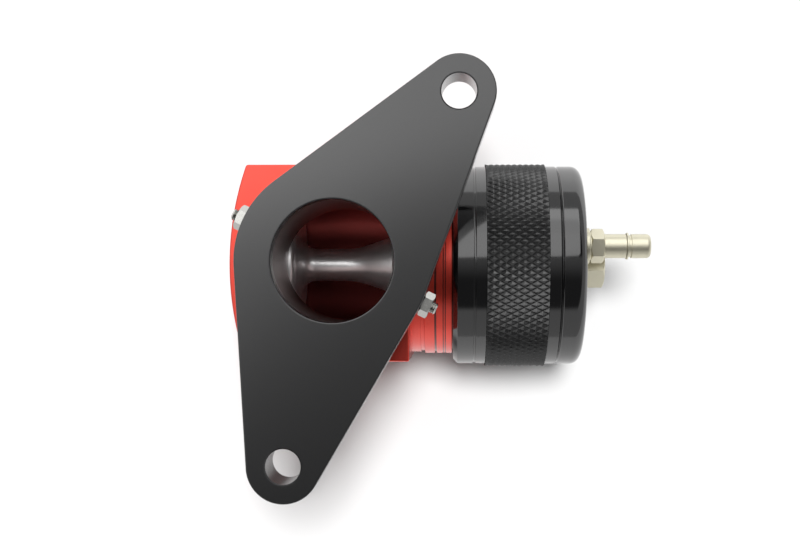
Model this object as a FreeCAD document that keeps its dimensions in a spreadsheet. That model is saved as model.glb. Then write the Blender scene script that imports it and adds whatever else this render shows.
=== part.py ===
import FreeCAD, Part
import math
import os
import Sketcher

# Blow off valve on a two-bolt flange adapter, in millimetres.
# Row frame: the origin is the centre of the inlet port on the flange's mounting face, +Z points
# out of that face, and +X runs along the valve from the discharge mouth to the cap.
# Turned pieces are drawn about their own X axis and placed on the valve's axis below the flange.

DIMENSIONS = {
    # flange adapter: plate with a round hub at the port and a lobe at each bolt
    "flange_thickness": 12.7,
    "port_radius": 14.75,
    "port_bevel": 0.35,
    "bolt_spacing": 98.8,
    "bolt_offset": 10.3,
    "bolt_hole_radius": 4.25,
    "bolt_line_angle": 65,
    "lobe_wall": 4.7,
    "flange_edge": 0.5,
    "collar_wall": 5.1,
    "collar_height": 9.05,
    "collar_gap": 0.3,
    "socket_shoulder": 3.75,
    "socket_roof": 3.6,
    "turning_gap": 0.05,
    # lock screws and their nuts, M3
    "lock_screw_radius": 1.5,
    "lock_screw_proud": 1.7,
    "lock_key_flats": 1.5,
    "lock_key_depth": 1.4,
    "lock_point_radius": 1.0,
    "lock_point_length": 1.4,
    "lock_point_gap": 0.1,
    "lock_nut_flats": 5.5,
    "lock_nut_height": 2.4,
    "lock_groove_play": 0.6,
    "lock_groove_depth": 1.2,
    "thread_gap": 0.02,
    # body: square block with a curved end, a boss on top and a turned neck
    "block_wall": 1.0,
    "block_left": 28.7,
    "block_right": 17.75,
    "block_end_radius": 77.0,
    "block_edge": 0.5,
    "neck_length": 10.95,
    "neck_step": 1.25,
    "neck_root_step": 0.35,
    "neck_root_length": 2.55,
    "neck_band_width": 1.0,
    "neck_band_depth": 0.7,
    "neck_line_from_end": 4.7,
    "neck_line_width": 0.5,
    "neck_line_depth": 0.45,
    "neck_twin_from_end": 2.5,
    "neck_twin_pitch": 0.55,
    "neck_twin_width": 0.22,
    "neck_twin_depth": 0.3,
    "spigot_wall": 3.9,
    "spigot_length": 29.4,
    "boss_port_step": 0.25,
    "boss_seal_from_roof": 7.0,
    # O-rings of the boss and the spigot
    "cord_section": 1.6,
    "seal_gap": 0.03,
    "seal_groove_width": 2.2,
    # bores inside the body
    "gallery_relief": 0.4,
    "seat_shoulder": 1.5,
    "seat_face": 20.5,
    "mouth_edge": 0.5,
    "bush_bore": 15.6,
    "bush_wall": 2.4,
    "bush_shoulder": 0.5,
    "bush_length": 15.5,
    "bush_end_gap": 0.5,
    "press_gap": 0.02,
    "cylinder_step": 1.1,
    # valve seat and its clip
    "seat_thickness": 3.4,
    "seat_lip": 0.2,
    "clip_thickness": 1.0,
    "clip_side_gap": 0.05,
    "clip_depth": 0.9,
    "clip_band": 2.2,
    "clip_opening": 9.0,
    "clip_ear_radius": 2.0,
    "clip_ear_hole": 0.8,
    # spool: head, waisted stem, flare and guide land
    "land_gap": 0.1,
    "head_relief": 0.1,
    "head_lift_gap": 0.3,
    "head_thickness": 7.2,
    "head_rim_round": 1.8,
    "head_fillet": 4.1,
    "head_dish_radius": 10.0,
    "head_dish_depth": 2.5,
    "stem_radius": 4.45,
    "flare_start": 1.0,
    "flare_round": 14.0,
    "pocket_web": 3.0,
    "pocket_outer_wall": 1.6,
    "pocket_inner_wall": 2.5,
    "pilot_radius": 5.0,
    "pilot_length": 2.9,
    # seal rings of the spool and the cup piston
    "head_seal_rim": 0.6,
    "head_seal_width": 1.2,
    "head_seal_groove": 1.3,
    "head_seal_gap": 0.05,
    "ring_depth": 1.3,
    "ring_width": 2.0,
    "ring_gap": 0.04,
    "ring_side_gap": 0.05,
    "spool_ring_inset": 0.8,
    # cup piston, its fixing and the spring
    "cup_clearance": 1.5,
    "cup_gap": 0.1,
    "cup_web": 3.0,
    "cup_length": 8.5,
    "cup_wall": 2.8,
    "cup_ring_inset": 4.6,
    "piston_washer_radius": 8.0,
    "piston_washer_height": 1.2,
    "piston_screw_radius": 3.0,
    "piston_screw_length": 13.0,
    "piston_screw_head": 5.0,
    "piston_screw_head_height": 3.5,
    "piston_key_flats": 4.0,
    "piston_key_depth": 2.2,
    "spring_wire": 1.8,
    "spring_turns": 3.75,
    "spring_side_gap": 0.4,
    "spring_seat_height": 0.8,
    "spring_seat_overlap": 1.7,
    "spring_seat_gap": 0.2,
    # cap
    "cap_gap": 0.2,
    "cap_side_wall": 4.0,
    "cap_end_wall": 5.0,
    "cap_left_chamfer": 1.15,
    "cap_groove_inset": 5.35,
    "cap_groove_width": 0.55,
    "cap_groove_depth": 0.35,
    "knurl_rise": 0.6,
    "knurl_inset": 8.7,
    "knurl_width": 15.8,
    "knurl_count": 94,
    "knurl_rows": 5,
    "knurl_floor": 0.02,
    "knurl_seat": 0.5,
    "cap_vee_from_end": 6.8,
    "cap_vee_width": 0.9,
    "cap_vee_depth": 0.45,
    "cap_edge_round": 2.6,
    "cap_seal_inset": 1.9,
    # hose nipple and its washer
    "nipple_angle": 63.9,
    "nipple_land": 0.44,
    "nipple_turn": 8.0,
    "nipple_washer_radius": 4.8,
    "nipple_washer_height": 1.9,
    "nipple_thread_radius": 3.0,
    "nipple_thread_length": 4.8,
    "nipple_collar_radius": 3.9,
    "nipple_collar_height": 0.35,
    "nipple_flats": 8.0,
    "nipple_hex_height": 3.5,
    "nipple_stem_radius": 3.2,
    "nipple_stem_length": 12.3,
    "nipple_ridge_inset": 5.8,
    "nipple_ridge_width": 0.6,
    "nipple_ridge_height": 0.35,
    "nipple_relief_width": 0.8,
    "nipple_relief_depth": 0.3,
    "nipple_tip_round": 1.0,
    "nipple_bore": 1.8,
    # hex plug on the cap's axis and its washer
    "plug_turn": 44.6,
    "plug_flats": 11.1,
    "plug_head_height": 5.3,
    "plug_thread_radius": 4.85,
    "plug_thread_length": 5.0,
    "plug_washer_radius": 5.9,
    "plug_washer_height": 1.5,
}

V = FreeCAD.Vector
SHEET = "Sizes"


class Size:
    """A length or angle that keeps the sheet expression it comes from beside its value."""

    def __init__(self, text, value):
        self.text = text
        self.value = value

    def combined(self, sign, other, value, swapped=False):
        other_text = other.text if isinstance(other, Size) else str(other)
        first, second = (other_text, self.text) if swapped else (self.text, other_text)
        return Size(f"({first} {sign} {second})", value)

    def __add__(self, other):
        return self.combined("+", other, self.value + number(other))

    __radd__ = __add__

    def __sub__(self, other):
        return self.combined("-", other, self.value - number(other))

    def __rsub__(self, other):
        return self.combined("-", other, number(other) - self.value, swapped=True)

    def __mul__(self, other):
        return self.combined("*", other, self.value * number(other))

    __rmul__ = __mul__

    def __truediv__(self, other):
        return self.combined("/", other, self.value / number(other))

    def __neg__(self):
        return Size(f"(0 - {self.text})", -self.value)


def number(item):
    return item.value if isinstance(item, Size) else float(item)


def root(item):
    return Size(f"sqrt({item.text})", math.sqrt(item.value))


def cosine(angle):
    return Size(f"cos({angle.text})", math.cos(math.radians(angle.value)))


def sine(angle):
    return Size(f"sin({angle.text})", math.sin(math.radians(angle.value)))


class SizeSheet:
    """The driving dimensions: one sheet cell with an alias for each, read back by name."""

    def __init__(self, doc):
        sheet = doc.addObject("Spreadsheet::Sheet", SHEET)
        for row, (name, value) in enumerate(DIMENSIONS.items(), start=1):
            sheet.set(f"A{row}", name)
            sheet.set(f"B{row}", str(value))
            sheet.setAlias(f"B{row}", name)

    def __getattr__(self, name):
        return Size(f"{SHEET}.{name}", float(DIMENSIONS[name]))


doc = FreeCAD.newDocument("blow_off_valve")
d = SizeSheet(doc)
doc.recompute()
pieces = []

ZERO = Size("0", 0.0)
HEX_CORNER = 2 / math.sqrt(3)
BEVEL_SLOPE = math.tan(math.radians(30))
FULL_TURN = 360


def bind(item, prop, size):
    item.setExpression(prop, size.text)


def new_body(name, whole=True):
    """A body; one that isn't a whole piece is joined to the rest of its piece later."""
    body = doc.addObject("PartDesign::Body", name)
    body.Label = name
    if whole:
        pieces.append(body)
    return body


def place(body, x=None, y=None, z=None, axis=None, angle=None):
    """Put a body in the row frame; every coordinate that is given stays bound to the sheet."""
    if axis is not None:
        body.Placement = FreeCAD.Placement(V(0, 0, 0), FreeCAD.Rotation(axis, number(angle)))
        bind(body, "Placement.Rotation.Angle", angle)
    for letter, size in (("x", x), ("y", y), ("z", z)):
        if size is not None:
            bind(body, f"Placement.Base.{letter}", size)


def on_valve_axis(body):
    place(body, z=-axis_depth)


def new_sketch(body, name, plane="XZ_Plane", offset=None):
    sketch = body.newObject("Sketcher::SketchObject", name)
    support = next(f for f in body.Origin.OriginFeatures if f.Role == plane)
    sketch.AttachmentSupport = [(support, "")]
    sketch.MapMode = "FlatFace"
    if offset is not None:
        bind(sketch, "AttachmentOffset.Base.z", offset)
    return sketch


def hold(sketch, kind, *items):
    """Add one sketch constraint; a Size as its last item is bound to the sheet."""
    if isinstance(items[-1], Size):
        index = sketch.addConstraint(Sketcher.Constraint(kind, *items[:-1], items[-1].value))
        bind(sketch, f"Constraints[{index}]", items[-1])
    else:
        sketch.addConstraint(Sketcher.Constraint(kind, *items))


def hold_point(sketch, edge, end, x, y):
    """Tie a point to the sketch's origin; a zero coordinate puts it on the axis itself."""
    for kind, size, axis_line in (("DistanceX", x, -2), ("DistanceY", y, -1)):
        if isinstance(size, Size) and size is not ZERO:
            hold(sketch, kind, -1, 1, edge, end, size)
        else:
            hold(sketch, "PointOnObject", edge, end, axis_line)


def arc_between(start, end, radius, left):
    """Arc of a given radius from start to end, with its centre left or right of the chord."""
    chord = end - start
    middle = (start + end) * 0.5
    rise = math.sqrt(max(radius**2 - (chord.Length / 2) ** 2, 0.0))
    across = V(-chord.y, chord.x, 0).normalize() * (rise if left else -rise)
    centre = middle + across
    first = math.atan2(start.y - centre.y, start.x - centre.x)
    last = math.atan2(end.y - centre.y, end.x - centre.x)
    if not left:
        first, last = last, first
    circle = Part.Circle(centre, V(0, 0, 1), radius)
    return Part.ArcOfCircle(circle, first, last)


def draw_outline(sketch, corners):
    """Closed outline. A corner is (x, y), or (x, y, radius, left) where an arc leaves it."""
    count = len(corners)
    first_edge = sketch.GeometryCount
    spots = [V(number(c[0]), number(c[1]), 0) for c in corners]
    ends = []
    for i, corner in enumerate(corners):
        here, there = spots[i], spots[(i + 1) % count]
        if len(corner) > 2:
            radius, left = corner[2], corner[3]
            sketch.addGeometry(arc_between(here, there, radius.value, left), False)
            ends.append((1, 2) if left else (2, 1))
        else:
            sketch.addGeometry(Part.LineSegment(here, there), False)
            ends.append((1, 2))
    for i in range(count):
        after = (i + 1) % count
        hold(sketch, "Coincident", first_edge + i, ends[i][1], first_edge + after, ends[after][0])
    for i, corner in enumerate(corners):
        hold_point(sketch, first_edge + i, ends[i][0], corner[0], corner[1])
        if len(corner) > 2:
            hold(sketch, "Radius", first_edge + i, corner[2])


def draw_circle(sketch, x, y, radius):
    centre = V(number(x), number(y), 0)
    edge = sketch.addGeometry(Part.Circle(centre, V(0, 0, 1), radius.value), False)
    hold_point(sketch, edge, 3, x, y)
    hold(sketch, "Radius", edge, radius)


def draw_hexagon(sketch, flats):
    """Hexagon about the sketch's origin with two corners on its horizontal axis."""
    reach = flats * (HEX_CORNER / 2)
    half, short = flats / 2, reach / 2
    corners = [(reach, ZERO), (short, half), (-short, half)]
    corners += [(-reach, ZERO), (-short, -half), (short, -half)]
    draw_outline(sketch, corners)


def turn(body, name, corners, axis="H_Axis", plane="XZ_Plane", cut=False):
    """Revolve an outline about a sketch axis, to add a turned shape or to cut one."""
    sketch = new_sketch(body, name + "_outline", plane)
    draw_outline(sketch, corners)
    kind = "PartDesign::Groove" if cut else "PartDesign::Revolution"
    feature = body.newObject(kind, name)
    feature.Profile = sketch
    feature.ReferenceAxis = (sketch, [axis])
    feature.Angle = FULL_TURN
    return feature


def raise_pad(body, name, sketch, length, reverse=False, middle=False):
    pad = body.newObject("PartDesign::Pad", name)
    pad.Profile = sketch
    pad.Reversed = reverse
    if middle:
        pad.SideType = "Symmetric"
    bind(pad, "Length", length)
    return pad


def cut_pocket(body, name, sketch, length, reverse=False):
    pocket = body.newObject("PartDesign::Pocket", name)
    pocket.Profile = sketch
    pocket.Reversed = reverse
    bind(pocket, "Length", length)
    return pocket


def chamfer_edges(body, name, base, size, wanted):
    """Chamfer the edges of a feature that the given test picks."""
    doc.recompute()
    names = [f"Edge{i}" for i, e in enumerate(base.Shape.Edges, start=1) if wanted(e)]
    chamfer = body.newObject("PartDesign::Chamfer", name)
    chamfer.Base = (base, names)
    bind(chamfer, "Size", size)
    return chamfer


def ring_outline(start, end, inner, outer):
    return [(start, inner), (start, outer), (end, outer), (end, inner)]


def bevel_hexagon(body, name, flats, face, outward):
    """Turn off a hexagon's corners at one face, as on a nut."""
    corner = flats * (HEX_CORNER / 2)
    reach = corner * 2 - flats / 2
    run = (reach - flats / 2) * BEVEL_SLOPE
    inside = face - run if outward else face + run
    turn(body, name, [(face, flats / 2), (face, reach), (inside, reach)], cut=True)


def level_edge(edge, height):
    """Is this edge flat at one height?"""
    box = edge.BoundBox
    return abs(box.ZMin - height) < 1e-4 and abs(box.ZMax - height) < 1e-4


# Sizes that several pieces share: first the radii, from the port and from the bush outwards
socket_radius = d.port_radius + d.socket_shoulder
hub_radius = socket_radius + d.collar_wall
boss_radius = socket_radius - d.turning_gap
boss_port_radius = d.port_radius + d.boss_port_step
land_radius = d.bush_bore - d.land_gap
head_radius = land_radius - d.head_relief
gallery_radius = d.bush_bore + d.gallery_relief
mouth_radius = gallery_radius + d.seat_shoulder
bush_radius = d.bush_bore + d.bush_wall
cylinder_radius = bush_radius + d.cylinder_step
cup_radius = cylinder_radius - d.cup_gap
cup_inside = cup_radius - d.cup_wall
spring_radius = cup_inside - d.spring_side_gap - d.spring_wire / 2
spigot_radius = cylinder_radius + d.spigot_wall
neck_radius = spigot_radius + d.neck_step
cap_bore = spigot_radius + d.turning_gap
cap_radius = cap_bore + d.cap_side_wall
head_seal_outer = head_radius - d.head_seal_rim
head_seal_inner = head_seal_outer - d.head_seal_width
seal_groove_depth = d.cord_section + d.seal_gap - d.turning_gap

# Heights below the flange's face
block_half = neck_radius + d.block_wall
collar_bottom = d.flange_thickness + d.collar_height - d.collar_gap
axis_depth = d.flange_thickness + d.collar_height + block_half
lock_screw_depth = d.flange_thickness / 2
boss_seal_depth = d.socket_roof + d.boss_seal_from_roof

# Stations along the valve's axis
seat_back = d.seat_face + d.seat_thickness
clip_end = seat_back + d.clip_side_gap + d.clip_thickness
bush_start = boss_port_radius + d.bush_shoulder
bush_end = bush_start + d.bush_length
cylinder_start = bush_end + d.bush_end_gap
spool_ring_start = bush_start + d.spool_ring_inset
cup_start = cylinder_start + d.cup_clearance
cup_web_end = cup_start + d.cup_web
cup_ring_start = cup_start + d.cup_ring_inset
neck_end = d.block_right + d.neck_length
spigot_end = neck_end + d.spigot_length
spring_end = spigot_end - d.spring_seat_height
cap_start = neck_end + d.cap_gap
cap_seal_start = neck_end + d.cap_seal_inset
cap_end = spigot_end + d.cap_end_wall
nipple_seat = cap_end + d.nipple_washer_height
plug_seat = cap_end + d.plug_washer_height

# The nipple stands beside the plug, as far off as their washers need
nipple_distance = d.plug_washer_radius + d.nipple_washer_radius + d.nipple_land
nipple_side = nipple_distance * cosine(d.nipple_angle)
nipple_height = nipple_distance * sine(d.nipple_angle)


# Flange adapter: the plate's outline is drawn with the bolt line along X, then turned
def make_flange_adapter():
    body = new_body("flange_adapter")
    half = d.bolt_spacing / 2
    lobe_radius = d.bolt_hole_radius + d.lobe_wall
    hub, lobe = hub_radius.value, lobe_radius.value
    bolt = V(half.value, -d.bolt_offset.value, 0)
    lean = math.atan2(bolt.y, bolt.x)
    swing = math.acos((hub - lobe) / bolt.Length)
    upper = V(math.cos(lean + swing), math.sin(lean + swing), 0)
    lower = V(math.cos(lean - swing), math.sin(lean - swing), 0)

    def mirrored(spot):
        return V(-spot.x, spot.y, 0)

    def arc(centre, radius, start, end):
        first = math.atan2(start.y - centre.y, start.x - centre.x)
        last = math.atan2(end.y - centre.y, end.x - centre.x)
        return Part.ArcOfCircle(Part.Circle(centre, V(0, 0, 1), radius), first, last)

    # anticlockwise from the right lobe, with straight tangents between lobes and hub
    sketch = new_sketch(body, "plate_outline", "XY_Plane")
    middle = V(0, 0, 0)
    lobe_low, lobe_high = bolt + lower * lobe, bolt + upper * lobe
    hub_low, hub_high = lower * hub, upper * hub
    for edge in (
        arc(bolt, lobe, lobe_low, lobe_high),
        Part.LineSegment(lobe_high, hub_high),
        arc(middle, hub, hub_high, mirrored(hub_high)),
        Part.LineSegment(mirrored(hub_high), mirrored(lobe_high)),
        arc(mirrored(bolt), lobe, mirrored(lobe_high), mirrored(lobe_low)),
        Part.LineSegment(mirrored(lobe_low), mirrored(hub_low)),
        arc(middle, hub, mirrored(hub_low), hub_low),
        Part.LineSegment(hub_low, lobe_low),
    ):
        sketch.addGeometry(edge, False)
    edge_count = sketch.GeometryCount
    for i in range(edge_count):
        hold(sketch, "Tangent", i, 2, (i + 1) % edge_count, 1)
    right_lobe, upper_hub, left_lobe, lower_hub = 0, 2, 4, 6
    for edge, side in ((right_lobe, half), (left_lobe, -half)):
        hold_point(sketch, edge, 3, side, -d.bolt_offset)
        hold(sketch, "Radius", edge, lobe_radius)
    for edge in (upper_hub, lower_hub):
        hold_point(sketch, edge, 3, ZERO, ZERO)
        hold(sketch, "Radius", edge, hub_radius)
    plate = raise_pad(body, "plate", sketch, d.flange_thickness, reverse=True)

    def on_plate_rim(edge):
        return level_edge(edge, 0.0) or level_edge(edge, -d.flange_thickness.value)

    chamfer_edges(body, "plate_edges", plate, d.flange_edge, on_plate_rim)

    # the collar's top reaches a chamfer's depth into the plate, where the two outlines run together
    collar_top = d.flange_thickness - d.flange_edge
    collar = new_sketch(body, "collar_outline", "XY_Plane", -collar_top)
    draw_circle(collar, ZERO, ZERO, hub_radius)
    raise_pad(body, "collar", collar, collar_bottom - collar_top, reverse=True)

    bolt_holes = new_sketch(body, "bolt_hole_outline", "XY_Plane")
    for side in (half, -half):
        draw_circle(bolt_holes, side, -d.bolt_offset, d.bolt_hole_radius)
    cut_pocket(body, "bolt_holes", bolt_holes, d.flange_thickness)

    turn(body, "port_and_socket", [
        (ZERO, ZERO), (d.port_radius + d.port_bevel, ZERO), (d.port_radius, -d.port_bevel),
        (d.port_radius, -d.socket_roof), (socket_radius, -d.socket_roof),
        (socket_radius, -collar_bottom), (ZERO, -collar_bottom),
    ], axis="V_Axis", cut=True)

    # one drilling goes right through both walls of the collar
    screw_hole = new_sketch(body, "screw_hole_outline", "XZ_Plane", -hub_radius)
    draw_circle(screw_hole, ZERO, -lock_screw_depth, d.lock_screw_radius + d.thread_gap)
    cut_pocket(body, "screw_holes", screw_hole, hub_radius * 2, reverse=True)
    place(body, axis=V(0, 0, 1), angle=d.bolt_line_angle)


# Lock screws and nuts: drawn along X, their distance from the port's axis, and turned about it
def make_lock_screw(name, angle):
    body = new_body(name)
    tip = boss_radius - d.lock_groove_depth + d.lock_point_gap
    point_end = tip + d.lock_point_length
    reach = hub_radius + d.lock_nut_height + d.lock_screw_proud
    radius, bevel = d.lock_screw_radius, d.lock_point_gap * 2
    turn(body, "shank", [
        (tip, ZERO), (tip, d.lock_point_radius), (point_end, d.lock_point_radius),
        (point_end, radius), (reach - bevel, radius), (reach, radius - bevel), (reach, ZERO),
    ])
    key = new_sketch(body, "key_outline", "YZ_Plane", reach)
    draw_hexagon(key, d.lock_key_flats)
    cut_pocket(body, "key", key, d.lock_key_depth)
    place(body, z=-lock_screw_depth, axis=V(0, 0, 1), angle=angle)


def make_lock_nut(name, angle):
    body = new_body(name)
    hexagon = new_sketch(body, "hexagon", "YZ_Plane", hub_radius)
    draw_hexagon(hexagon, d.lock_nut_flats)
    raise_pad(body, "blank", hexagon, d.lock_nut_height)
    hole = new_sketch(body, "hole_outline", "YZ_Plane", hub_radius)
    draw_circle(hole, ZERO, ZERO, d.lock_screw_radius + d.thread_gap)
    cut_pocket(body, "hole", hole, d.lock_nut_height, reverse=True)
    bevel_hexagon(body, "outer_bevel", d.lock_nut_flats, hub_radius + d.lock_nut_height, outward=True)
    bevel_hexagon(body, "inner_bevel", d.lock_nut_flats, hub_radius, outward=False)
    place(body, z=-lock_screw_depth, axis=V(0, 0, 1), angle=angle)


# Valve body: milled block, turned neck and spigot, boss for the adapter, and the bores
def make_valve_body():
    body = new_body("valve_body")
    centre_x = d.block_end_radius - d.block_left
    reach = d.block_end_radius * d.block_end_radius - block_half * block_half
    corner_x = centre_x - root(reach)
    outline = new_sketch(body, "block_outline", "XY_Plane")
    draw_outline(outline, [
        (d.block_right, -block_half), (d.block_right, block_half),
        (corner_x, block_half, d.block_end_radius, True), (corner_x, -block_half),
    ])
    block = raise_pad(body, "block", outline, block_half * 2, middle=True)
    chamfer_edges(body, "block_edges", block, d.block_edge, lambda edge: True)

    turn(body, "neck", neck_corners())

    lock_height = axis_depth - lock_screw_depth
    lock_floor = boss_radius - d.lock_groove_depth
    lock_half = d.lock_screw_radius + d.lock_groove_play / 2
    seal_height = axis_depth - boss_seal_depth
    seal_floor = boss_radius - seal_groove_depth
    seal_half = d.seal_groove_width / 2
    boss_top = axis_depth - d.socket_roof - d.turning_gap
    turn(body, "boss", [
        (ZERO, gallery_radius), (boss_radius, gallery_radius),
        (boss_radius, lock_height - lock_half), (lock_floor, lock_height - lock_half),
        (lock_floor, lock_height + lock_half), (boss_radius, lock_height + lock_half),
        (boss_radius, seal_height - seal_half), (seal_floor, seal_height - seal_half),
        (seal_floor, seal_height + seal_half), (boss_radius, seal_height + seal_half),
        (boss_radius, boss_top), (ZERO, boss_top),
    ], axis="V_Axis")
    port = new_sketch(body, "port_outline", "XY_Plane")
    draw_circle(port, ZERO, ZERO, boss_port_radius)
    cut_pocket(body, "port", port, boss_top, reverse=True)

    beyond = d.block_left + d.clip_band
    clip_floor = mouth_radius + d.clip_depth
    groove_start = clip_end + d.clip_side_gap
    bores = turn(body, "bores", [
        (-beyond, ZERO), (-beyond, mouth_radius),
        (-groove_start, mouth_radius), (-groove_start, clip_floor),
        (-seat_back, clip_floor), (-seat_back, mouth_radius),
        (-d.seat_face, mouth_radius), (-d.seat_face, gallery_radius),
        (bush_start, gallery_radius), (bush_start, bush_radius),
        (cylinder_start, bush_radius), (cylinder_start, cylinder_radius),
        (spigot_end, cylinder_radius), (spigot_end, ZERO),
    ], cut=True)

    def at_mouth(edge):
        outside = edge.BoundBox.XMax < -groove_start.value - d.clip_side_gap.value
        across = max(edge.BoundBox.YLength, edge.BoundBox.ZLength)
        return outside and abs(across - 2 * mouth_radius.value) < d.clip_side_gap.value

    chamfer_edges(body, "mouth_edge", bores, d.mouth_edge, at_mouth)
    on_valve_axis(body)


def neck_corners():
    """Half section of the neck and spigot: bands and fine grooves, then the cap's seal groove."""
    root_radius = neck_radius - d.neck_root_step
    band_start = d.block_right + d.neck_root_length
    band_end = band_start + d.neck_band_width
    band_floor = neck_radius - d.neck_band_depth
    corners = [(ZERO, ZERO), (ZERO, root_radius), (band_start, root_radius)]
    corners += [(band_start, band_floor), (band_end, band_floor), (band_end, neck_radius)]
    twin = neck_end - d.neck_twin_from_end
    for start, width, depth in (
        (neck_end - d.neck_line_from_end, d.neck_line_width, d.neck_line_depth),
        (twin, d.neck_twin_width, d.neck_twin_depth),
        (twin + d.neck_twin_pitch, d.neck_twin_width, d.neck_twin_depth),
    ):
        floor = neck_radius - depth
        corners += [(start, neck_radius), (start, floor)]
        corners += [(start + width, floor), (start + width, neck_radius)]
    seal_floor = spigot_radius - seal_groove_depth
    seal_end = cap_seal_start + d.seal_groove_width
    corners += [(neck_end, neck_radius), (neck_end, spigot_radius)]
    corners += [(cap_seal_start, spigot_radius), (cap_seal_start, seal_floor)]
    corners += [(seal_end, seal_floor), (seal_end, spigot_radius)]
    corners += [(spigot_end, spigot_radius), (spigot_end, ZERO)]
    return corners


# Seat ring against the shoulder of the mouth, and the clip that keeps it there
def make_seat_ring():
    body = new_body("seat_ring")
    outer = mouth_radius - d.press_gap
    throat = head_seal_inner - d.seat_lip
    lead = d.seat_thickness / 2
    turn(body, "ring", [
        (-seat_back, throat + lead), (-seat_back, outer), (-d.seat_face, outer),
        (-d.seat_face, throat), (lead - seat_back, throat),
    ])
    on_valve_axis(body)


def make_seat_clip():
    body = new_body("seat_clip")
    outer = mouth_radius + d.clip_depth - d.clip_side_gap
    inner = outer - d.clip_band
    start = -clip_end
    band = new_sketch(body, "band_outline", "YZ_Plane", start)
    draw_circle(band, ZERO, ZERO, outer)
    draw_circle(band, ZERO, ZERO, inner)
    raise_pad(body, "band", band, d.clip_thickness)

    ear_side = (d.clip_opening + d.clip_ear_radius) / 2
    ear_height = root(inner * inner - ear_side * ear_side)
    ears = new_sketch(body, "ear_outline", "YZ_Plane", start)
    holes = new_sketch(body, "hole_outline", "YZ_Plane", start)
    for side in (ear_side, -ear_side):
        draw_circle(ears, side, -ear_height, d.clip_ear_radius)
        draw_circle(holes, side, -ear_height, d.clip_ear_hole)
    raise_pad(body, "ears", ears, d.clip_thickness)
    cut_pocket(body, "holes", holes, d.clip_thickness, reverse=True)

    gap_side = (d.clip_opening - d.clip_ear_radius) / 2
    gap_top = d.clip_ear_radius * 2 - ear_height
    gap = new_sketch(body, "gap_outline", "YZ_Plane", start)
    draw_outline(gap, [
        (gap_side, -outer), (gap_side, gap_top), (-gap_side, gap_top), (-gap_side, -outer),
    ])
    cut_pocket(body, "gap", gap, d.clip_thickness, reverse=True)
    on_valve_axis(body)


# Spool: head with a rounded rim, stem, flare and the land that runs in the bush
def make_spool():
    body = new_body("spool")
    face = d.head_lift_gap - d.seat_face
    back = face + d.head_thickness
    rim, fillet = d.head_rim_round, d.head_fillet
    flare_rise = d.flare_round - (land_radius - d.stem_radius)
    flare_end = d.flare_start + root(d.flare_round * d.flare_round - flare_rise * flare_rise)
    ring_end = spool_ring_start + d.ring_width
    ring_floor = land_radius - d.ring_depth
    pocket_start = ring_end + d.pocket_web
    pocket_outer = ring_floor - d.pocket_outer_wall
    pocket_inner = d.pilot_radius + d.pocket_inner_wall
    pilot_end = cup_start + d.pilot_length
    turn(body, "profile", [
        (face + d.head_dish_depth, ZERO), (face + d.head_dish_depth, d.head_dish_radius),
        (face, d.head_dish_radius + d.head_dish_depth / 2), (face, head_radius),
        (back - rim, head_radius, rim, False), (back, head_radius - rim),
        (back, d.stem_radius + fillet, fillet, True), (back + fillet, d.stem_radius),
        (d.flare_start, d.stem_radius, d.flare_round, True), (flare_end, land_radius),
        (spool_ring_start, land_radius), (spool_ring_start, ring_floor),
        (ring_end, ring_floor), (ring_end, land_radius),
        (cup_start, land_radius), (cup_start, pocket_outer),
        (pocket_start, pocket_outer), (pocket_start, pocket_inner),
        (cup_start, pocket_inner), (cup_start, d.pilot_radius),
        (pilot_end, d.pilot_radius), (pilot_end, ZERO),
    ])
    turn(body, "seal_groove", ring_outline(
        face, face + d.head_seal_groove, head_seal_inner, head_seal_outer), cut=True)
    hole_radius = d.piston_screw_radius + d.thread_gap
    hole_end = cup_web_end + d.piston_washer_height - d.piston_screw_length - d.piston_screw_radius / 3
    turn(body, "screw_hole", [
        (hole_end, ZERO), (hole_end, hole_radius), (pilot_end, hole_radius), (pilot_end, ZERO),
    ], cut=True)
    on_valve_axis(body)


def make_head_seal():
    body = new_body("head_seal")
    face = d.head_seal_gap - d.seat_face
    groove = d.head_lift_gap - d.seat_face + d.head_seal_groove
    turn(body, "ring", ring_outline(face, groove, head_seal_inner, head_seal_outer))
    on_valve_axis(body)


# Guide bush pressed in the body from the cap's end, with a small lead at its mouth
def make_guide_bush():
    body = new_body("guide_bush")
    outer = bush_radius - d.press_gap
    lead = d.bush_wall / 4
    turn(body, "bush", [
        (bush_start, d.bush_bore), (bush_start, outer), (bush_end, outer),
        (bush_end, d.bush_bore + lead), (bush_end - lead, d.bush_bore),
    ])
    on_valve_axis(body)


def make_groove_ring(name, groove_start, land, wall):
    """Square-section ring that fills a groove in the land and runs on the wall outside it."""
    body = new_body(name)
    start = groove_start + d.ring_side_gap
    end = groove_start + d.ring_width - d.ring_side_gap
    turn(body, "ring", ring_outline(start, end, land - d.ring_depth, wall - d.ring_gap))
    on_valve_axis(body)


# Cup piston on the spool's pilot, held by a washer and a socket screw
def make_actuator_piston():
    body = new_body("actuator_piston")
    hole = d.pilot_radius + d.thread_gap
    ring_end = cup_ring_start + d.ring_width
    ring_floor = cup_radius - d.ring_depth
    cup_end = cup_start + d.cup_length
    bevel = d.ring_depth / 3
    turn(body, "cup", [
        (cup_start, hole), (cup_start, cup_radius - bevel), (cup_start + bevel, cup_radius),
        (cup_ring_start, cup_radius), (cup_ring_start, ring_floor),
        (ring_end, ring_floor), (ring_end, cup_radius), (cup_end, cup_radius),
        (cup_end, cup_inside), (cup_web_end, cup_inside), (cup_web_end, hole),
    ])
    on_valve_axis(body)


def make_piston_washer():
    body = new_body("piston_washer")
    turn(body, "disc", ring_outline(
        cup_web_end, cup_web_end + d.piston_washer_height,
        d.piston_screw_radius + d.thread_gap, d.piston_washer_radius))
    on_valve_axis(body)


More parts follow.
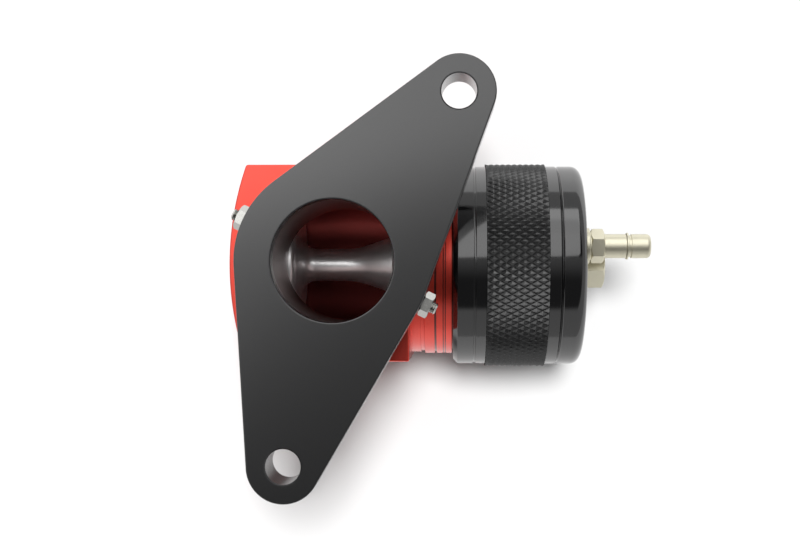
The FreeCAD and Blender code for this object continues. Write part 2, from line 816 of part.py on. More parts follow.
def make_piston_screw():
    body = new_body("piston_screw")
    under_head = cup_web_end + d.piston_washer_height
    head_end = under_head + d.piston_screw_head_height
    bevel = d.piston_screw_head_height / 5
    start = under_head - d.piston_screw_length
    turn(body, "shank", [
        (start, ZERO), (start, d.piston_screw_radius - bevel),
        (start + bevel, d.piston_screw_radius), (under_head, d.piston_screw_radius),
        (under_head, d.piston_screw_head), (head_end - bevel, d.piston_screw_head),
        (head_end, d.piston_screw_head - bevel), (head_end, ZERO),
    ])
    key = new_sketch(body, "key_outline", "YZ_Plane", head_end)
    draw_hexagon(key, d.piston_key_flats)
    cut_pocket(body, "key", key, d.piston_key_depth)
    on_valve_axis(body)


# Return spring between the cup's web and the seat washer
def make_return_spring():
    body = new_body("return_spring")
    wire = new_sketch(body, "wire_outline")
    draw_circle(wire, cup_web_end + d.spring_wire / 2, spring_radius, d.spring_wire / 2)
    coil = body.newObject("PartDesign::AdditiveHelix", "coil")
    coil.Profile = wire
    coil.ReferenceAxis = (wire, ["H_Axis"])
    coil.Mode = "height-turns-angle"
    bind(coil, "Height", spring_end - cup_web_end - d.spring_wire)
    bind(coil, "Turns", d.spring_turns)
    on_valve_axis(body)


def make_spring_seat():
    body = new_body("spring_seat")
    turn(body, "washer", ring_outline(
        spring_end, spigot_end, spring_radius - d.spring_seat_overlap,
        cylinder_radius - d.spring_seat_gap))
    on_valve_axis(body)


def diamond_ring(start, end, inner, floor, crest, count, rows):
    """Diamond knurl about the X axis: on a lattice of crests and low points, each crest has a
    low point before and behind it and one on each side, so pyramids stand in rows that interlock.
    """
    columns, spokes = rows * 2, count * 2

    def spot(column, spoke):
        radius = crest if (column + spoke) % 2 else floor
        angle = math.pi * spoke / count
        x = start + (end - start) * column / columns
        return V(x, radius * math.cos(angle), radius * math.sin(angle))

    faces = []
    for column in range(columns + 1):
        for spoke in range((column + 1) % 2, spokes, 2):
            top = spot(column, spoke)
            for ahead in (-1, 1):
                if not 0 <= column + ahead <= columns:
                    continue
                for aside in (-1, 1):
                    corners = [spot(column + ahead, spoke), spot(column, spoke + aside)]
                    if ahead * aside < 0:
                        corners.reverse()
                    faces.append(Part.Face(Part.makePolygon([top, *corners, top])))
    for column, turns in ((0, range(spokes, -1, -1)), (columns, range(spokes + 1))):
        faces.append(Part.Face(Part.makePolygon([spot(column, turn % spokes) for turn in turns])))
    ridged = Part.makeSolid(Part.makeShell(faces))
    return ridged.cut(Part.makeCylinder(inner, end - start, V(start, 0, 0), V(1, 0, 0)))


# Cap: screwed on the spigot until its end wall meets the spigot's end, with a knurled band
def make_cap():
    body = new_body("cap_shell", whole=False)
    band = cap_radius
    chamfer, edge = d.cap_left_chamfer, d.cap_edge_round
    groove_start = cap_start + d.cap_groove_inset
    groove_end = groove_start + d.cap_groove_width
    groove_floor = band - d.cap_groove_depth
    knurl_start = cap_start + d.knurl_inset
    knurl_end = knurl_start + d.knurl_width
    knurl_seat = band - d.knurl_seat
    vee = cap_end - d.cap_vee_from_end
    turn(body, "shell", [
        (cap_start, cap_bore), (cap_start, band - chamfer), (cap_start + chamfer, band),
        (groove_start, band), (groove_start, groove_floor),
        (groove_end, groove_floor), (groove_end, band),
        (knurl_start, band), (knurl_start, knurl_seat),
        (knurl_end, knurl_seat), (knurl_end, band),
        (vee, band), (vee + d.cap_vee_width / 2, band - d.cap_vee_depth),
        (vee + d.cap_vee_width, band), (cap_end - edge, band, edge, False),
        (cap_end, band - edge), (cap_end, ZERO), (spigot_end, ZERO), (spigot_end, cap_bore),
    ])
    for name, side, height, radius in (
        ("plug_hole", ZERO, ZERO, d.plug_thread_radius),
        ("nipple_hole", nipple_side, nipple_height, d.nipple_thread_radius),
    ):
        sketch = new_sketch(body, name + "_outline", "YZ_Plane", cap_end)
        draw_circle(sketch, side, height, radius + d.thread_gap)
        cut_pocket(body, name, sketch, d.cap_end_wall)

    knurl = doc.addObject("Part::Feature", "knurl")
    knurl.Shape = diamond_ring(
        knurl_start.value, knurl_end.value, knurl_seat.value, (band + d.knurl_floor).value,
        (band + d.knurl_rise).value, round(d.knurl_count.value), round(d.knurl_rows.value))
    cap = doc.addObject("Part::Fuse", "cap")
    cap.Label = "cap"
    cap.Base, cap.Tool = body, knurl
    cap.Refine = False
    pieces.append(cap)
    on_valve_axis(cap)


# Hose nipple: threaded tail, collar, hexagon and a stem with one ridge
def make_hose_nipple():
    body = new_body("hose_nipple")
    tail_start = nipple_seat - d.nipple_thread_length - d.nipple_washer_height
    collar_end = nipple_seat + d.nipple_collar_height
    hex_end = collar_end + d.nipple_hex_height
    stem_end = hex_end + d.nipple_stem_length
    stem, ridge = d.nipple_stem_radius, d.nipple_stem_radius + d.nipple_ridge_height
    ridge_start = hex_end + d.nipple_ridge_inset
    ridge_end = ridge_start + d.nipple_ridge_width
    relief_end = ridge_end + d.nipple_relief_width
    relief = stem - d.nipple_relief_depth
    tip = d.nipple_tip_round
    turn(body, "turned", [
        (tail_start, d.nipple_bore), (tail_start, d.nipple_thread_radius),
        (nipple_seat, d.nipple_thread_radius), (nipple_seat, d.nipple_collar_radius),
        (hex_end, d.nipple_collar_radius), (hex_end, stem),
        (ridge_start, stem), (ridge_start + d.nipple_ridge_width / 3, ridge),
        (ridge_end, ridge), (ridge_end, relief), (relief_end, relief), (relief_end, stem),
        (stem_end - tip, stem, tip, False), (stem_end, stem - tip), (stem_end, d.nipple_bore),
    ])
    hexagon = new_sketch(body, "hexagon", "YZ_Plane", collar_end)
    draw_hexagon(hexagon, d.nipple_flats)
    raise_pad(body, "blank", hexagon, d.nipple_hex_height)
    bevel_hexagon(body, "outer_bevel", d.nipple_flats, hex_end, outward=True)
    bevel_hexagon(body, "inner_bevel", d.nipple_flats, collar_end, outward=False)
    turn(body, "bore", [
        (tail_start, ZERO), (tail_start, d.nipple_bore), (stem_end, d.nipple_bore), (stem_end, ZERO),
    ], cut=True)
    place(body, y=nipple_side, z=nipple_height - axis_depth, axis=V(1, 0, 0), angle=d.nipple_turn)


def make_nipple_washer():
    body = new_body("nipple_washer")
    turn(body, "disc", ring_outline(
        cap_end, nipple_seat, d.nipple_thread_radius + d.thread_gap, d.nipple_washer_radius))
    place(body, y=nipple_side, z=nipple_height - axis_depth)


# Hex plug on the cap's axis, with its corners turned off at the outer end
def make_end_plug():
    body = new_body("end_plug")
    start = plug_seat - d.plug_thread_length - d.plug_washer_height
    head_end = plug_seat + d.plug_head_height
    turn(body, "thread", [
        (start, ZERO), (start, d.plug_thread_radius), (plug_seat, d.plug_thread_radius),
        (plug_seat, ZERO),
    ])
    hexagon = new_sketch(body, "hexagon", "YZ_Plane", plug_seat)
    draw_hexagon(hexagon, d.plug_flats)
    raise_pad(body, "head", hexagon, d.plug_head_height)
    bevel_hexagon(body, "bevel", d.plug_flats, head_end, outward=True)
    place(body, z=-axis_depth, axis=V(1, 0, 0), angle=d.plug_turn)


def make_plug_washer():
    body = new_body("plug_washer")
    turn(body, "disc", ring_outline(
        cap_end, plug_seat, d.plug_thread_radius + d.thread_gap, d.plug_washer_radius))
    on_valve_axis(body)


# Round-section seal rings, each resting on the floor of its groove
def make_o_ring(name, floor, axis_angle):
    ring = doc.addObject("Part::Torus", name)
    ring.Label = name
    bind(ring, "Radius1", floor + d.cord_section / 2)
    bind(ring, "Radius2", d.cord_section / 2)
    ring.Placement = FreeCAD.Placement(V(0, 0, 0), FreeCAD.Rotation(V(0, 1, 0), axis_angle))
    pieces.append(ring)
    return ring


def export_pieces():
    """Stop on any failed object or bad solid, then write one file per piece."""
    doc.recompute()
    for item in doc.Objects:
        if "Invalid" in item.State or "Error" in item.State:
            raise RuntimeError(f"{item.Name} failed: {item.State}")
    for piece in pieces:
        shape = piece.Shape
        if shape.isNull() or not shape.isValid() or len(shape.Solids) != 1:
            raise RuntimeError(f"{piece.Label} is not one valid solid")
    os.makedirs("parts", exist_ok=True)
    for piece in pieces:
        piece.Shape.exportStep(f"parts/{piece.Label}.step")
        print(f"{piece.Label}: {piece.Shape.Volume:.1f} mm3")


make_flange_adapter()
for side, angle in (("right", d.bolt_line_angle - 90), ("left", d.bolt_line_angle + 90)):
    make_lock_screw(f"lock_screw_{side}", angle)
    make_lock_nut(f"lock_nut_{side}", angle)
make_valve_body()
place(make_o_ring("adapter_oring", boss_radius - seal_groove_depth, 0), z=-boss_seal_depth)
make_seat_ring()
make_seat_clip()
make_spool()
make_head_seal()
make_guide_bush()
make_groove_ring("spool_ring", spool_ring_start, land_radius, d.bush_bore)
make_actuator_piston()
make_groove_ring("actuator_ring", cup_ring_start, cup_radius, cylinder_radius)
make_piston_washer()
make_piston_screw()
make_return_spring()
make_spring_seat()
make_cap()
place(make_o_ring("cap_oring", spigot_radius - seal_groove_depth, 90),
      x=cap_seal_start + d.seal_groove_width / 2, z=-axis_depth)
make_hose_nipple()
make_nipple_washer()
make_end_plug()
make_plug_washer()
export_pieces()
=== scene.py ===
import math

import bpy
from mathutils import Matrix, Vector


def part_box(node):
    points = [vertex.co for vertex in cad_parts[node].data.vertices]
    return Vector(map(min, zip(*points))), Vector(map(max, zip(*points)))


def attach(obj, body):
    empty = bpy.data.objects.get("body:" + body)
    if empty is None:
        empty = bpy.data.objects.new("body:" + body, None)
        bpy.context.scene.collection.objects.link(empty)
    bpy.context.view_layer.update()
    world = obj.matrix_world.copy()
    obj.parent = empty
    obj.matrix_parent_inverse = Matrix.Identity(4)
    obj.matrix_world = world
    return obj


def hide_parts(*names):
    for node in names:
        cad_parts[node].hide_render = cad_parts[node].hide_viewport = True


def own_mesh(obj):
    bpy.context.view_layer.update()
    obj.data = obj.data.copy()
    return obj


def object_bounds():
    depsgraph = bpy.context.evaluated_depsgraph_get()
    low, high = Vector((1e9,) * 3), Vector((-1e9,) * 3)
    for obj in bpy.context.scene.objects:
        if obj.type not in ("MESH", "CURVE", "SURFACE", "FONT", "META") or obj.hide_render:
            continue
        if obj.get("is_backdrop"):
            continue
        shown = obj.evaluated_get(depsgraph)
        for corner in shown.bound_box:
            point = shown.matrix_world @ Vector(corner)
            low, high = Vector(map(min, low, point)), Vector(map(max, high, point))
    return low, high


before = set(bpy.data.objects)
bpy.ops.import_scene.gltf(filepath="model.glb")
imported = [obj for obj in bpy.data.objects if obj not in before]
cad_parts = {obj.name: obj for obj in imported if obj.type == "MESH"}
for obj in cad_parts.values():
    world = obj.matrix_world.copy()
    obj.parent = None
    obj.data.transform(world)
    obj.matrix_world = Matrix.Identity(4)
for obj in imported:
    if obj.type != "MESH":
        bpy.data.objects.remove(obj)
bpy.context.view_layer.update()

# Valve body: one billet of aluminium, milled square with a curved end, a turned neck and spigot
# for the cap and a round boss for the adapter. It is anodised red, with the bores turned through
# from both ends.
MM = 0.001
BLOCK_HALF = 25.25
AXIS = Vector((0, 0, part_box("valve_body")[0].z + BLOCK_HALF * MM))
X, Y, Z = Vector((1, 0, 0)), Vector((0, 1, 0)), Vector((0, 0, 1))
PORT = Vector((0, 0, 0))
SAME_SPOT = 0.002
CRACK = 0.003
SMOOTH_UP_TO = math.radians(32)


def alone(piece):
    """Only this piece is selected and active."""
    bpy.ops.object.select_all(action="DESELECT")
    piece.select_set(True)
    bpy.context.view_layer.objects.active = piece


def arc(centre, radius, first, last, steps):
    """Points along an arc, its angles in degrees."""
    angles = [math.radians(first + (last - first) * i / steps) for i in range(steps + 1)]
    return [(centre[0] + radius * math.cos(a), centre[1] + radius * math.sin(a)) for a in angles]


def rounded(corners, steps=5):
    """Points of an outline in which a corner's third value is the radius that rounds it off."""
    spots = []
    for i, corner in enumerate(corners):
        here = Vector(corner[:2])
        if len(corner) == 2:
            spots.append(here)
            continue
        back = (Vector(corners[i - 1][:2]) - here).normalized()
        ahead = (Vector(corners[(i + 1) % len(corners)][:2]) - here).normalized()
        half = back.angle(ahead) / 2
        centre = here + (back + ahead).normalized() * corner[2] / math.sin(half)
        start = here + back * corner[2] / math.tan(half) - centre
        end = here + ahead * corner[2] / math.tan(half) - centre
        spots += [centre + start.slerp(end, step / steps) * corner[2] for step in range(steps + 1)]
    return spots


def outline(name, spots, fill):
    """A circle with one vertex for each spot, and the vertices moved there."""
    bpy.ops.object.select_all(action="DESELECT")
    bpy.ops.mesh.primitive_circle_add(vertices=len(spots), radius=MM, fill_type=fill)
    piece = bpy.context.object
    piece.name = piece.data.name = name
    for vertex, spot in zip(piece.data.vertices, spots):
        vertex.co = spot
    return piece


def turned(name, corners, centre=AXIS, along=X, side=Z, steps=192):
    """A turned piece: half its section, as (distance, radius) in mm, spun round its axis."""
    spots = [centre + (along * c[0] + side * c[1]) * MM for c in rounded(corners)]
    piece = outline(name, spots, "NOTHING")
    bpy.ops.object.mode_set(mode="EDIT")
    bpy.ops.mesh.select_all(action="SELECT")
    bpy.ops.mesh.spin(steps=steps, angle=math.tau, center=centre, axis=along)
    bpy.ops.mesh.select_all(action="SELECT")
    bpy.ops.mesh.remove_doubles(threshold=SAME_SPOT * MM)
    bpy.ops.mesh.delete_loose()
    bpy.ops.mesh.select_all(action="SELECT")
    bpy.ops.mesh.normals_make_consistent(inside=False)
    bpy.ops.object.mode_set(mode="OBJECT")
    return piece


def prism(name, spots, rise):
    """A flat outline drawn out along rise."""
    piece = outline(name, spots, "NGON")
    bpy.ops.object.mode_set(mode="EDIT")
    bpy.ops.mesh.select_all(action="SELECT")
    bpy.ops.mesh.extrude_region_move(TRANSFORM_OT_translate={"value": rise})
    bpy.ops.mesh.select_all(action="SELECT")
    bpy.ops.mesh.normals_make_consistent(inside=False)
    bpy.ops.object.mode_set(mode="OBJECT")
    return piece


def modified(piece, kind, **settings):
    """One modifier, set and applied."""
    alone(piece)
    bpy.ops.object.modifier_add(type=kind)
    modifier = piece.modifiers[-1]
    for setting, value in settings.items():
        setattr(modifier, setting, value)
    bpy.ops.object.modifier_apply(modifier=modifier.name)


def eased(piece, width, segments=3, sharper_than=30):
    """The piece's edges that turn more than an angle are eased by a small bevel."""
    modified(piece, "BEVEL", width=width * MM, segments=segments, limit_method="ANGLE",
             angle_limit=math.radians(sharper_than))


def cut(piece, *tools, operation="DIFFERENCE"):
    """The tools are taken from the piece, or joined to it or kept in common."""
    for tool in tools:
        modified(piece, "BOOLEAN", operation=operation, object=tool, solver="EXACT")
        bpy.data.objects.remove(tool)


def fitted(piece, material, slot, body, *nodes):
    modified(piece, "WELD", merge_threshold=CRACK * MM)
    bpy.ops.object.shade_smooth_by_angle(angle=SMOOTH_UP_TO)
    modified(piece, "WEIGHTED_NORMAL", keep_sharp=True)
    if not piece.data.materials:
        piece.data.materials.append(material)
    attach(piece, body)
    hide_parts(*nodes)


class Signal:
    """A value in a node tree. Arithmetic on it adds Math nodes."""

    def __init__(self, nodes, socket):
        self.nodes = nodes
        self.socket = socket

    def math(self, operation, *values):
        return self.nodes.node("ShaderNodeMath", {"operation": operation}, dict(enumerate(values)))

    def __add__(self, other):
        return self.math("ADD", self, other)

    __radd__ = __add__

    def __sub__(self, other):
        return self.math("SUBTRACT", self, other)

    def __rsub__(self, other):
        return self.math("SUBTRACT", other, self)

    def __mul__(self, other):
        return self.math("MULTIPLY", self, other)

    __rmul__ = __mul__

    def __gt__(self, other):
        return self.math("GREATER_THAN", self, other)

    def __lt__(self, other):
        return self.math("LESS_THAN", self, other)

    def root(self):
        return self.math("SQRT", self)

    def greatest(self, other):
        return self.math("MAXIMUM", self, other)

    def ramp(self, low, high, first=0.0, last=1.0):
        """This value, from low to high, as one from first to last."""
        settings = {"interpolation_type": "SMOOTHSTEP"}
        values = {"Value": self, "From Min": low, "From Max": high, "To Min": first, "To Max": last}
        return self.nodes.node("ShaderNodeMapRange", settings, values)


class Nodes:
    """The node tree of a finish or of the surroundings."""

    def __init__(self, tree):
        self.tree = tree

    def put(self, socket, value):
        """Link a signal to a socket, or set a value on it."""
        if isinstance(value, Signal):
            self.tree.links.new(value.socket, socket)
        else:
            socket.default_value = value

    def node(self, kind, settings, values, output=0):
        """Add a node: its settings first, then the values or links of its sockets."""
        made = self.tree.nodes.new(kind)
        for setting, value in settings.items():
            setattr(made, setting, value)
        for socket, value in values.items():
            self.put(made.inputs[socket], value)
        return Signal(self, made.outputs[output])


class Finish(Nodes):
    """A material: one shader, and the nodes that vary it over the surface."""

    def __init__(self, name, colour, roughness, metallic=0.0, ior=1.5):
        self.material = bpy.data.materials.new(name)
        self.material.use_nodes = True
        super().__init__(self.material.node_tree)
        self.shader = self.tree.nodes["Principled BSDF"]
        self.vary("Base Color", (*colour, 1))
        self.vary("Roughness", roughness)
        self.vary("Metallic", metallic)
        self.vary("IOR", ior)
        self.place = self.node("ShaderNodeTexCoord", {}, {}, "Object")
        self.relief = None

    def vary(self, name, value):
        """Set an input of the shader to a value, or to one that changes over the surface."""
        self.put(self.shader.inputs[name], value)

    def noise(self, size, detail=3.0):
        """Cloudy noise with features of about this size in mm."""
        scale = (1 / (size * MM),) * 3
        where = self.node("ShaderNodeMapping", {}, {"Vector": self.place, "Scale": scale})
        values = {"Vector": where, "Scale": 1.0, "Detail": detail}
        return self.node("ShaderNodeTexNoise", {}, values)

    def part(self, letter):
        """One coordinate of the place, in mm."""
        return self.node("ShaderNodeSeparateXYZ", {}, {0: self.place}, letter) * (1 / MM)

    def radius(self, centre=AXIS, letters="YZ"):
        """Distance from a turning axis, in mm."""
        first, second = [self.part(c) - centre["XYZ".index(c)] / MM for c in letters]
        return (first * first + second * second).root()

    def rings(self, pitch):
        """Tool marks of a turned surface: they run round it, on its faces as on its sides."""
        path = (self.part("X") + self.radius()) * (1 / pitch)
        settings = {"noise_dimensions": "1D"}
        return self.node("ShaderNodeTexNoise", settings, {"W": path, "Scale": 1.0, "Detail": 3.0})

    def mix(self, factor, first, second):
        """Two colours mixed by a factor."""
        values = {"Factor": factor, 6: first, 7: second}
        return self.node("ShaderNodeMix", {"data_type": "RGBA"}, values, 2)

    def emboss(self, height, depth, strength):
        """Relief of this depth in mm, from a height between 0 and 1; one on another adds up."""
        values = {"Height": height, "Distance": depth * MM, "Strength": strength}
        if self.relief is not None:
            values["Normal"] = self.relief
        self.relief = self.node("ShaderNodeBump", {}, values)
        self.vary("Normal", self.relief)


RED = (0.74, 0.055, 0.032)
DEEP_RED = (0.64, 0.042, 0.024)
BORE_PAINTED_SHADE = (0.39, 0.14, 0.13)
PORT_PAINTED_SHADE = (0.21, 0.155, 0.15)
GROOVE_PAINTED_SHADE = (0.10, 0.015, 0.012)
BLOTCH = 9.0
BLASTED = 0.22
NECK_FEED = 0.34
PORT_SKIN, PORT_SKIN_FLOOR = 15.4, -36.0
BORE_SKIN, BORE_SKIN_START = 20.0, -23.5
GROOVE_SKIN, GROOVE_SKIN_START = 24.05, 23.5
NECK_START = 17.76

red = Finish("red_anodised", RED, 0.34, metallic=1.0)
red.vary("Coat Weight", 0.7)
red.vary("Coat Roughness", 0.24)
skin = red.mix(red.noise(BLOTCH, detail=4.0), (*DEEP_RED, 1), (*RED, 1))
from_axis = red.radius()
in_port = (red.radius(PORT, "XY") < PORT_SKIN) * (red.part("Z") > PORT_SKIN_FLOOR)
in_bores = (from_axis < BORE_SKIN) * (red.part("X") > BORE_SKIN_START)
in_grooves = (from_axis < GROOVE_SKIN) * (red.part("X") > GROOVE_SKIN_START)
on_lathe = red.part("X") > NECK_START
# The floors of the neck's fine grooves and the spigot beyond them take a near-black red: painted
# shade in the grooves.
skin = red.mix(in_grooves, skin, (*GROOVE_PAINTED_SHADE, 1))
# Inside the bores the red is darker and greyer: painted shade of the cavity.
skin = red.mix(in_bores, skin, (*BORE_PAINTED_SHADE, 1))
# The port's wall is darker and greyer still: painted shade down the port.
red.vary("Base Color", red.mix(in_port, skin, (*PORT_PAINTED_SHADE, 1)))
grain = red.noise(BLASTED)
neck_marks = red.rings(NECK_FEED) * on_lathe
red.vary("Roughness", 0.29 + 0.10 * grain + 0.06 * neck_marks)
red.emboss(grain, 0.006, 0.5)
red.emboss(neck_marks, 0.01, 0.6)

END_RADIUS = 77.0
END_LEFT = 28.7
BLOCK_RIGHT = 17.75
BLOCK_EDGE = 0.5
end_centre = END_RADIUS - END_LEFT
end_swing = math.degrees(math.asin(BLOCK_HALF / END_RADIUS))
end_arc = arc((end_centre, 0), END_RADIUS, 180 - end_swing, 180 + end_swing, steps=40)
sides = [(BLOCK_RIGHT, -BLOCK_HALF), (BLOCK_RIGHT, BLOCK_HALF), *end_arc]
block_floor = AXIS.z / MM - BLOCK_HALF
machined_body = prism(
    "machined_body",
    [Vector((x, y, block_floor)) * MM for x, y in sides],
    Z * 2 * BLOCK_HALF * MM,
)
eased(machined_body, BLOCK_EDGE)

# The neck and the spigot are turned in one setting: a shallow band at the root, fine grooves, and
# the seal's groove. A groove is given by its start, its end and the radius of its floor.
NECK_ROOT, NECK_ROOT_EDGE = 23.9, 0.08
NECK_RADIUS, NECK_EDGE = 24.25, 0.15
BAND = (20.3, 21.3, 23.55)
FINE_GROOVES = ((24.0, 24.5, 23.8), (26.2, 26.42, 23.95), (26.75, 26.97, 23.95))
FINE_EDGE = 0.05
NECK_END, NECK_END_EDGE = 28.7, 0.25
SPIGOT_RADIUS, SPIGOT_END, SPIGOT_EDGE = 23.0, 58.1, 0.4
SEAL_GROOVE = (30.6, 32.8, 21.42)
neck = [(0, 0), (0, NECK_ROOT), (BAND[0], NECK_ROOT, NECK_ROOT_EDGE), (BAND[0], BAND[2])]
neck += [(BAND[1], BAND[2]), (BAND[1], NECK_RADIUS, NECK_EDGE)]
for start, end, root in FINE_GROOVES:
    neck += [(start, NECK_RADIUS, FINE_EDGE), (start, root), (end, root)]
    neck += [(end, NECK_RADIUS, FINE_EDGE)]
neck += [(NECK_END, NECK_RADIUS, NECK_END_EDGE), (NECK_END, SPIGOT_RADIUS)]
neck += [(SEAL_GROOVE[0], SPIGOT_RADIUS), (SEAL_GROOVE[0], SEAL_GROOVE[2])]
neck += [(SEAL_GROOVE[1], SEAL_GROOVE[2]), (SEAL_GROOVE[1], SPIGOT_RADIUS)]
neck += [(SPIGOT_END, SPIGOT_RADIUS, SPIGOT_EDGE), (SPIGOT_END, 0)]

# The boss stands on top of the block, with a groove for the adapter's O-ring and a wider one for
# the points of the lock screws.
BOSS_RADIUS, BOSS_TOP, BOSS_EDGE = 18.45, -3.65, 0.3
BOSS_ROOT = -30.0
BOSS_GROOVES = ((-11.7, -9.5, 16.87), (-8.15, -4.55, 17.25))
boss = [(BOSS_ROOT, 0), (BOSS_ROOT, BOSS_RADIUS)]
for low, high, root in BOSS_GROOVES:
    boss += [(low, BOSS_RADIUS), (low, root), (high, root), (high, BOSS_RADIUS)]
boss += [(BOSS_TOP, BOSS_RADIUS, BOSS_EDGE), (BOSS_TOP, 0)]

# The bores run along the axis, from the mouth to the cup piston's cylinder, and the port meets
# them from above.
BODY_PORT = 15.0
GALLERY = 16.0
MOUTH, PAST_MOUTH = 17.5, 2.0
SEAT_FACE, CLIP_GROOVE = -20.5, (-25.0, -23.9, 18.4)
BUSH_SEAT = (15.5, 18.0)
CYLINDER = (31.5, 19.1)
PAST_FACE = 1.0
bores = [(-END_LEFT - PAST_MOUTH, 0), (-END_LEFT - PAST_MOUTH, MOUTH), (CLIP_GROOVE[0], MOUTH)]
bores += [(CLIP_GROOVE[0], CLIP_GROOVE[2]), (CLIP_GROOVE[1], CLIP_GROOVE[2])]
bores += [(CLIP_GROOVE[1], MOUTH), (SEAT_FACE, MOUTH), (SEAT_FACE, GALLERY)]
bores += [(BUSH_SEAT[0], GALLERY), BUSH_SEAT, (CYLINDER[0], BUSH_SEAT[1]), CYLINDER]
bores += [(SPIGOT_END + PAST_FACE, CYLINDER[1]), (SPIGOT_END + PAST_FACE, 0)]
port = [(PAST_FACE, 0), (PAST_FACE, BODY_PORT), (AXIS.z / MM, BODY_PORT), (AXIS.z / MM, 0)]

cut(machined_body, turned("neck", neck), turned("boss", boss, PORT, Z, X), operation="UNION")
cut(machined_body, turned("bores", bores), turned("port", port, PORT, Z, X))
fitted(machined_body, red.material, "red_body", "valve", "valve_body")

# Guide bush: a bronze sleeve pressed into the body and reamed, in which the spool's land runs. It
# keeps the form that it has in the frame, as the hidden inner pieces do.
BUSH_MARKS = 0.3
bronze = Finish("bush_bronze", (0.62, 0.36, 0.16), 0.34, metallic=1.0)
marks = bronze.rings(BUSH_MARKS)
bronze.vary("Roughness", 0.26 + 0.14 * marks)
bronze.emboss(marks, 0.006, 0.5)


def plain(node, finish):
    """A piece whose form in the frame is right takes its finish."""
    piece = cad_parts[node]
    piece.data.materials.clear()
    piece.data.materials.append(finish.material)


plain("guide_bush", bronze)

# Spool: turned from aluminium and hard anodised to a pale bronze grey. A rounded head closes the
# mouth, and a waisted stem flares out to the land that runs in the bush. The land is hollow, with
# a tail for the cup piston.
SPOOL_MARKS, SPOOL_CLOUDS = 0.42, 6.0
SPOOL_TINTS = ((0.95, 0.93, 0.93, 1), (1.0, 0.99, 0.99, 1))
hard_bronze = Finish("hard_bronze", (0.96, 0.94, 0.94), 0.30, metallic=0.84)
marks = hard_bronze.rings(SPOOL_MARKS)
clouds = hard_bronze.noise(SPOOL_CLOUDS)
hard_bronze.vary("Base Color", hard_bronze.mix(clouds, *SPOOL_TINTS))
hard_bronze.vary("Roughness", 0.26 + 0.12 * marks)
hard_bronze.emboss(marks, 0.008, 0.5)

HEAD_FACE, HEAD_BACK, HEAD_RADIUS = -20.2, -13.0, 15.4
HEAD_EDGE, HEAD_ROUND, HEAD_FILLET = 0.2, 1.8, 4.1
DISH_FLOOR, DISH_RADIUS, DISH_RIM = -17.7, 10.0, 11.25
DISH_FILLET, DISH_EDGE = 0.3, 0.15
FACE_GROOVE = (13.6, 14.8, -18.9)
STEM_RADIUS, FLARE_SWEEP, FLARE_FILLET = 4.45, 20.0, 1.2
FLARE_START, FLARE_END, FLARE_RADIUS = 2.4, 12.9, 8.1
LAND_START, LAND_END, LAND_RADIUS, LAND_EDGE = 14.7, 33.0, 15.5, 0.3
RING_GROOVE = (16.3, 18.3, 14.2)
HOLLOW_FLOOR, HOLLOW_INNER, HOLLOW_OUTER = 21.3, 7.5, 12.6
TAIL_END, TAIL_RADIUS, TAIL_EDGE = 35.9, 5.0, 0.3
TAPPED_RADIUS, TAPPED_FLOOR, DRILL_POINT = 3.02, 23.2, 22.4
spool = [(DISH_FLOOR, 0), (DISH_FLOOR, DISH_RADIUS, DISH_FILLET), (HEAD_FACE, DISH_RIM, DISH_EDGE)]
spool += [(HEAD_FACE, FACE_GROOVE[0]), (FACE_GROOVE[2], FACE_GROOVE[0])]
spool += [(FACE_GROOVE[2], FACE_GROOVE[1]), (HEAD_FACE, FACE_GROOVE[1])]
spool += [(HEAD_FACE, HEAD_RADIUS, HEAD_EDGE), (HEAD_BACK, HEAD_RADIUS, HEAD_ROUND)]
spool += [(HEAD_BACK, STEM_RADIUS, HEAD_FILLET), (FLARE_START, STEM_RADIUS, FLARE_SWEEP)]
spool += [(FLARE_END, FLARE_RADIUS, FLARE_FILLET), (LAND_START, LAND_RADIUS, LAND_EDGE)]
spool += [(RING_GROOVE[0], LAND_RADIUS), (RING_GROOVE[0], RING_GROOVE[2])]
spool += [(RING_GROOVE[1], RING_GROOVE[2]), (RING_GROOVE[1], LAND_RADIUS)]
spool += [(LAND_END, LAND_RADIUS, LAND_EDGE), (LAND_END, HOLLOW_OUTER)]
spool += [(HOLLOW_FLOOR, HOLLOW_OUTER), (HOLLOW_FLOOR, HOLLOW_INNER), (LAND_END, HOLLOW_INNER)]
spool += [(LAND_END, TAIL_RADIUS), (TAIL_END, TAIL_RADIUS, TAIL_EDGE), (TAIL_END, TAPPED_RADIUS)]
spool += [(TAPPED_FLOOR, TAPPED_RADIUS), (DRILL_POINT, 0)]
turned_spool = turned("turned_spool", spool)
fitted(turned_spool, hard_bronze.material, "bronze_spool", "piston", "spool")

# Seal rings: moulded rubber in the spool's face, the adapter's boss and the cap's spigot, and
# turned low-friction rings round the land and the cup piston.
rubber = Finish("seal_rubber", (0.012, 0.012, 0.013), 0.55)
rubber.vary("Roughness", rubber.noise(0.4).ramp(0.3, 0.7, 0.45, 0.65))
slide = Finish("slide_ring", (0.30, 0.17, 0.09), 0.45)
slide.vary("Roughness", slide.rings(0.3).ramp(0.3, 0.7, 0.35, 0.55))
for node in ("head_seal", "cap_oring", "adapter_oring"):
    plain(node, rubber)
for node in ("spool_ring", "actuator_ring"):
    plain(node, slide)

# Cup piston: turned from aluminium and screwed to the spool's tail. Its screw and washer, and the
# spring's seat in the cap, are zinc-plated steel.
CUP_MARKS = 0.3
aluminium = Finish("plain_aluminium", (0.78, 0.78, 0.79), 0.30, metallic=1.0)
marks = aluminium.rings(CUP_MARKS)
aluminium.vary("Roughness", 0.22 + 0.16 * marks)
aluminium.emboss(marks, 0.008, 0.6)
zinc = Finish("zinc_steel", (0.42, 0.42, 0.40), 0.20, metallic=1.0)
haze = zinc.noise(0.8, detail=4.0)
zinc.vary("Roughness", 0.12 + 0.14 * haze)
zinc.emboss(haze, 0.004, 0.4)
plain("actuator_piston", aluminium)
for node in ("piston_washer", "piston_screw", "spring_seat"):
    plain(node, zinc)
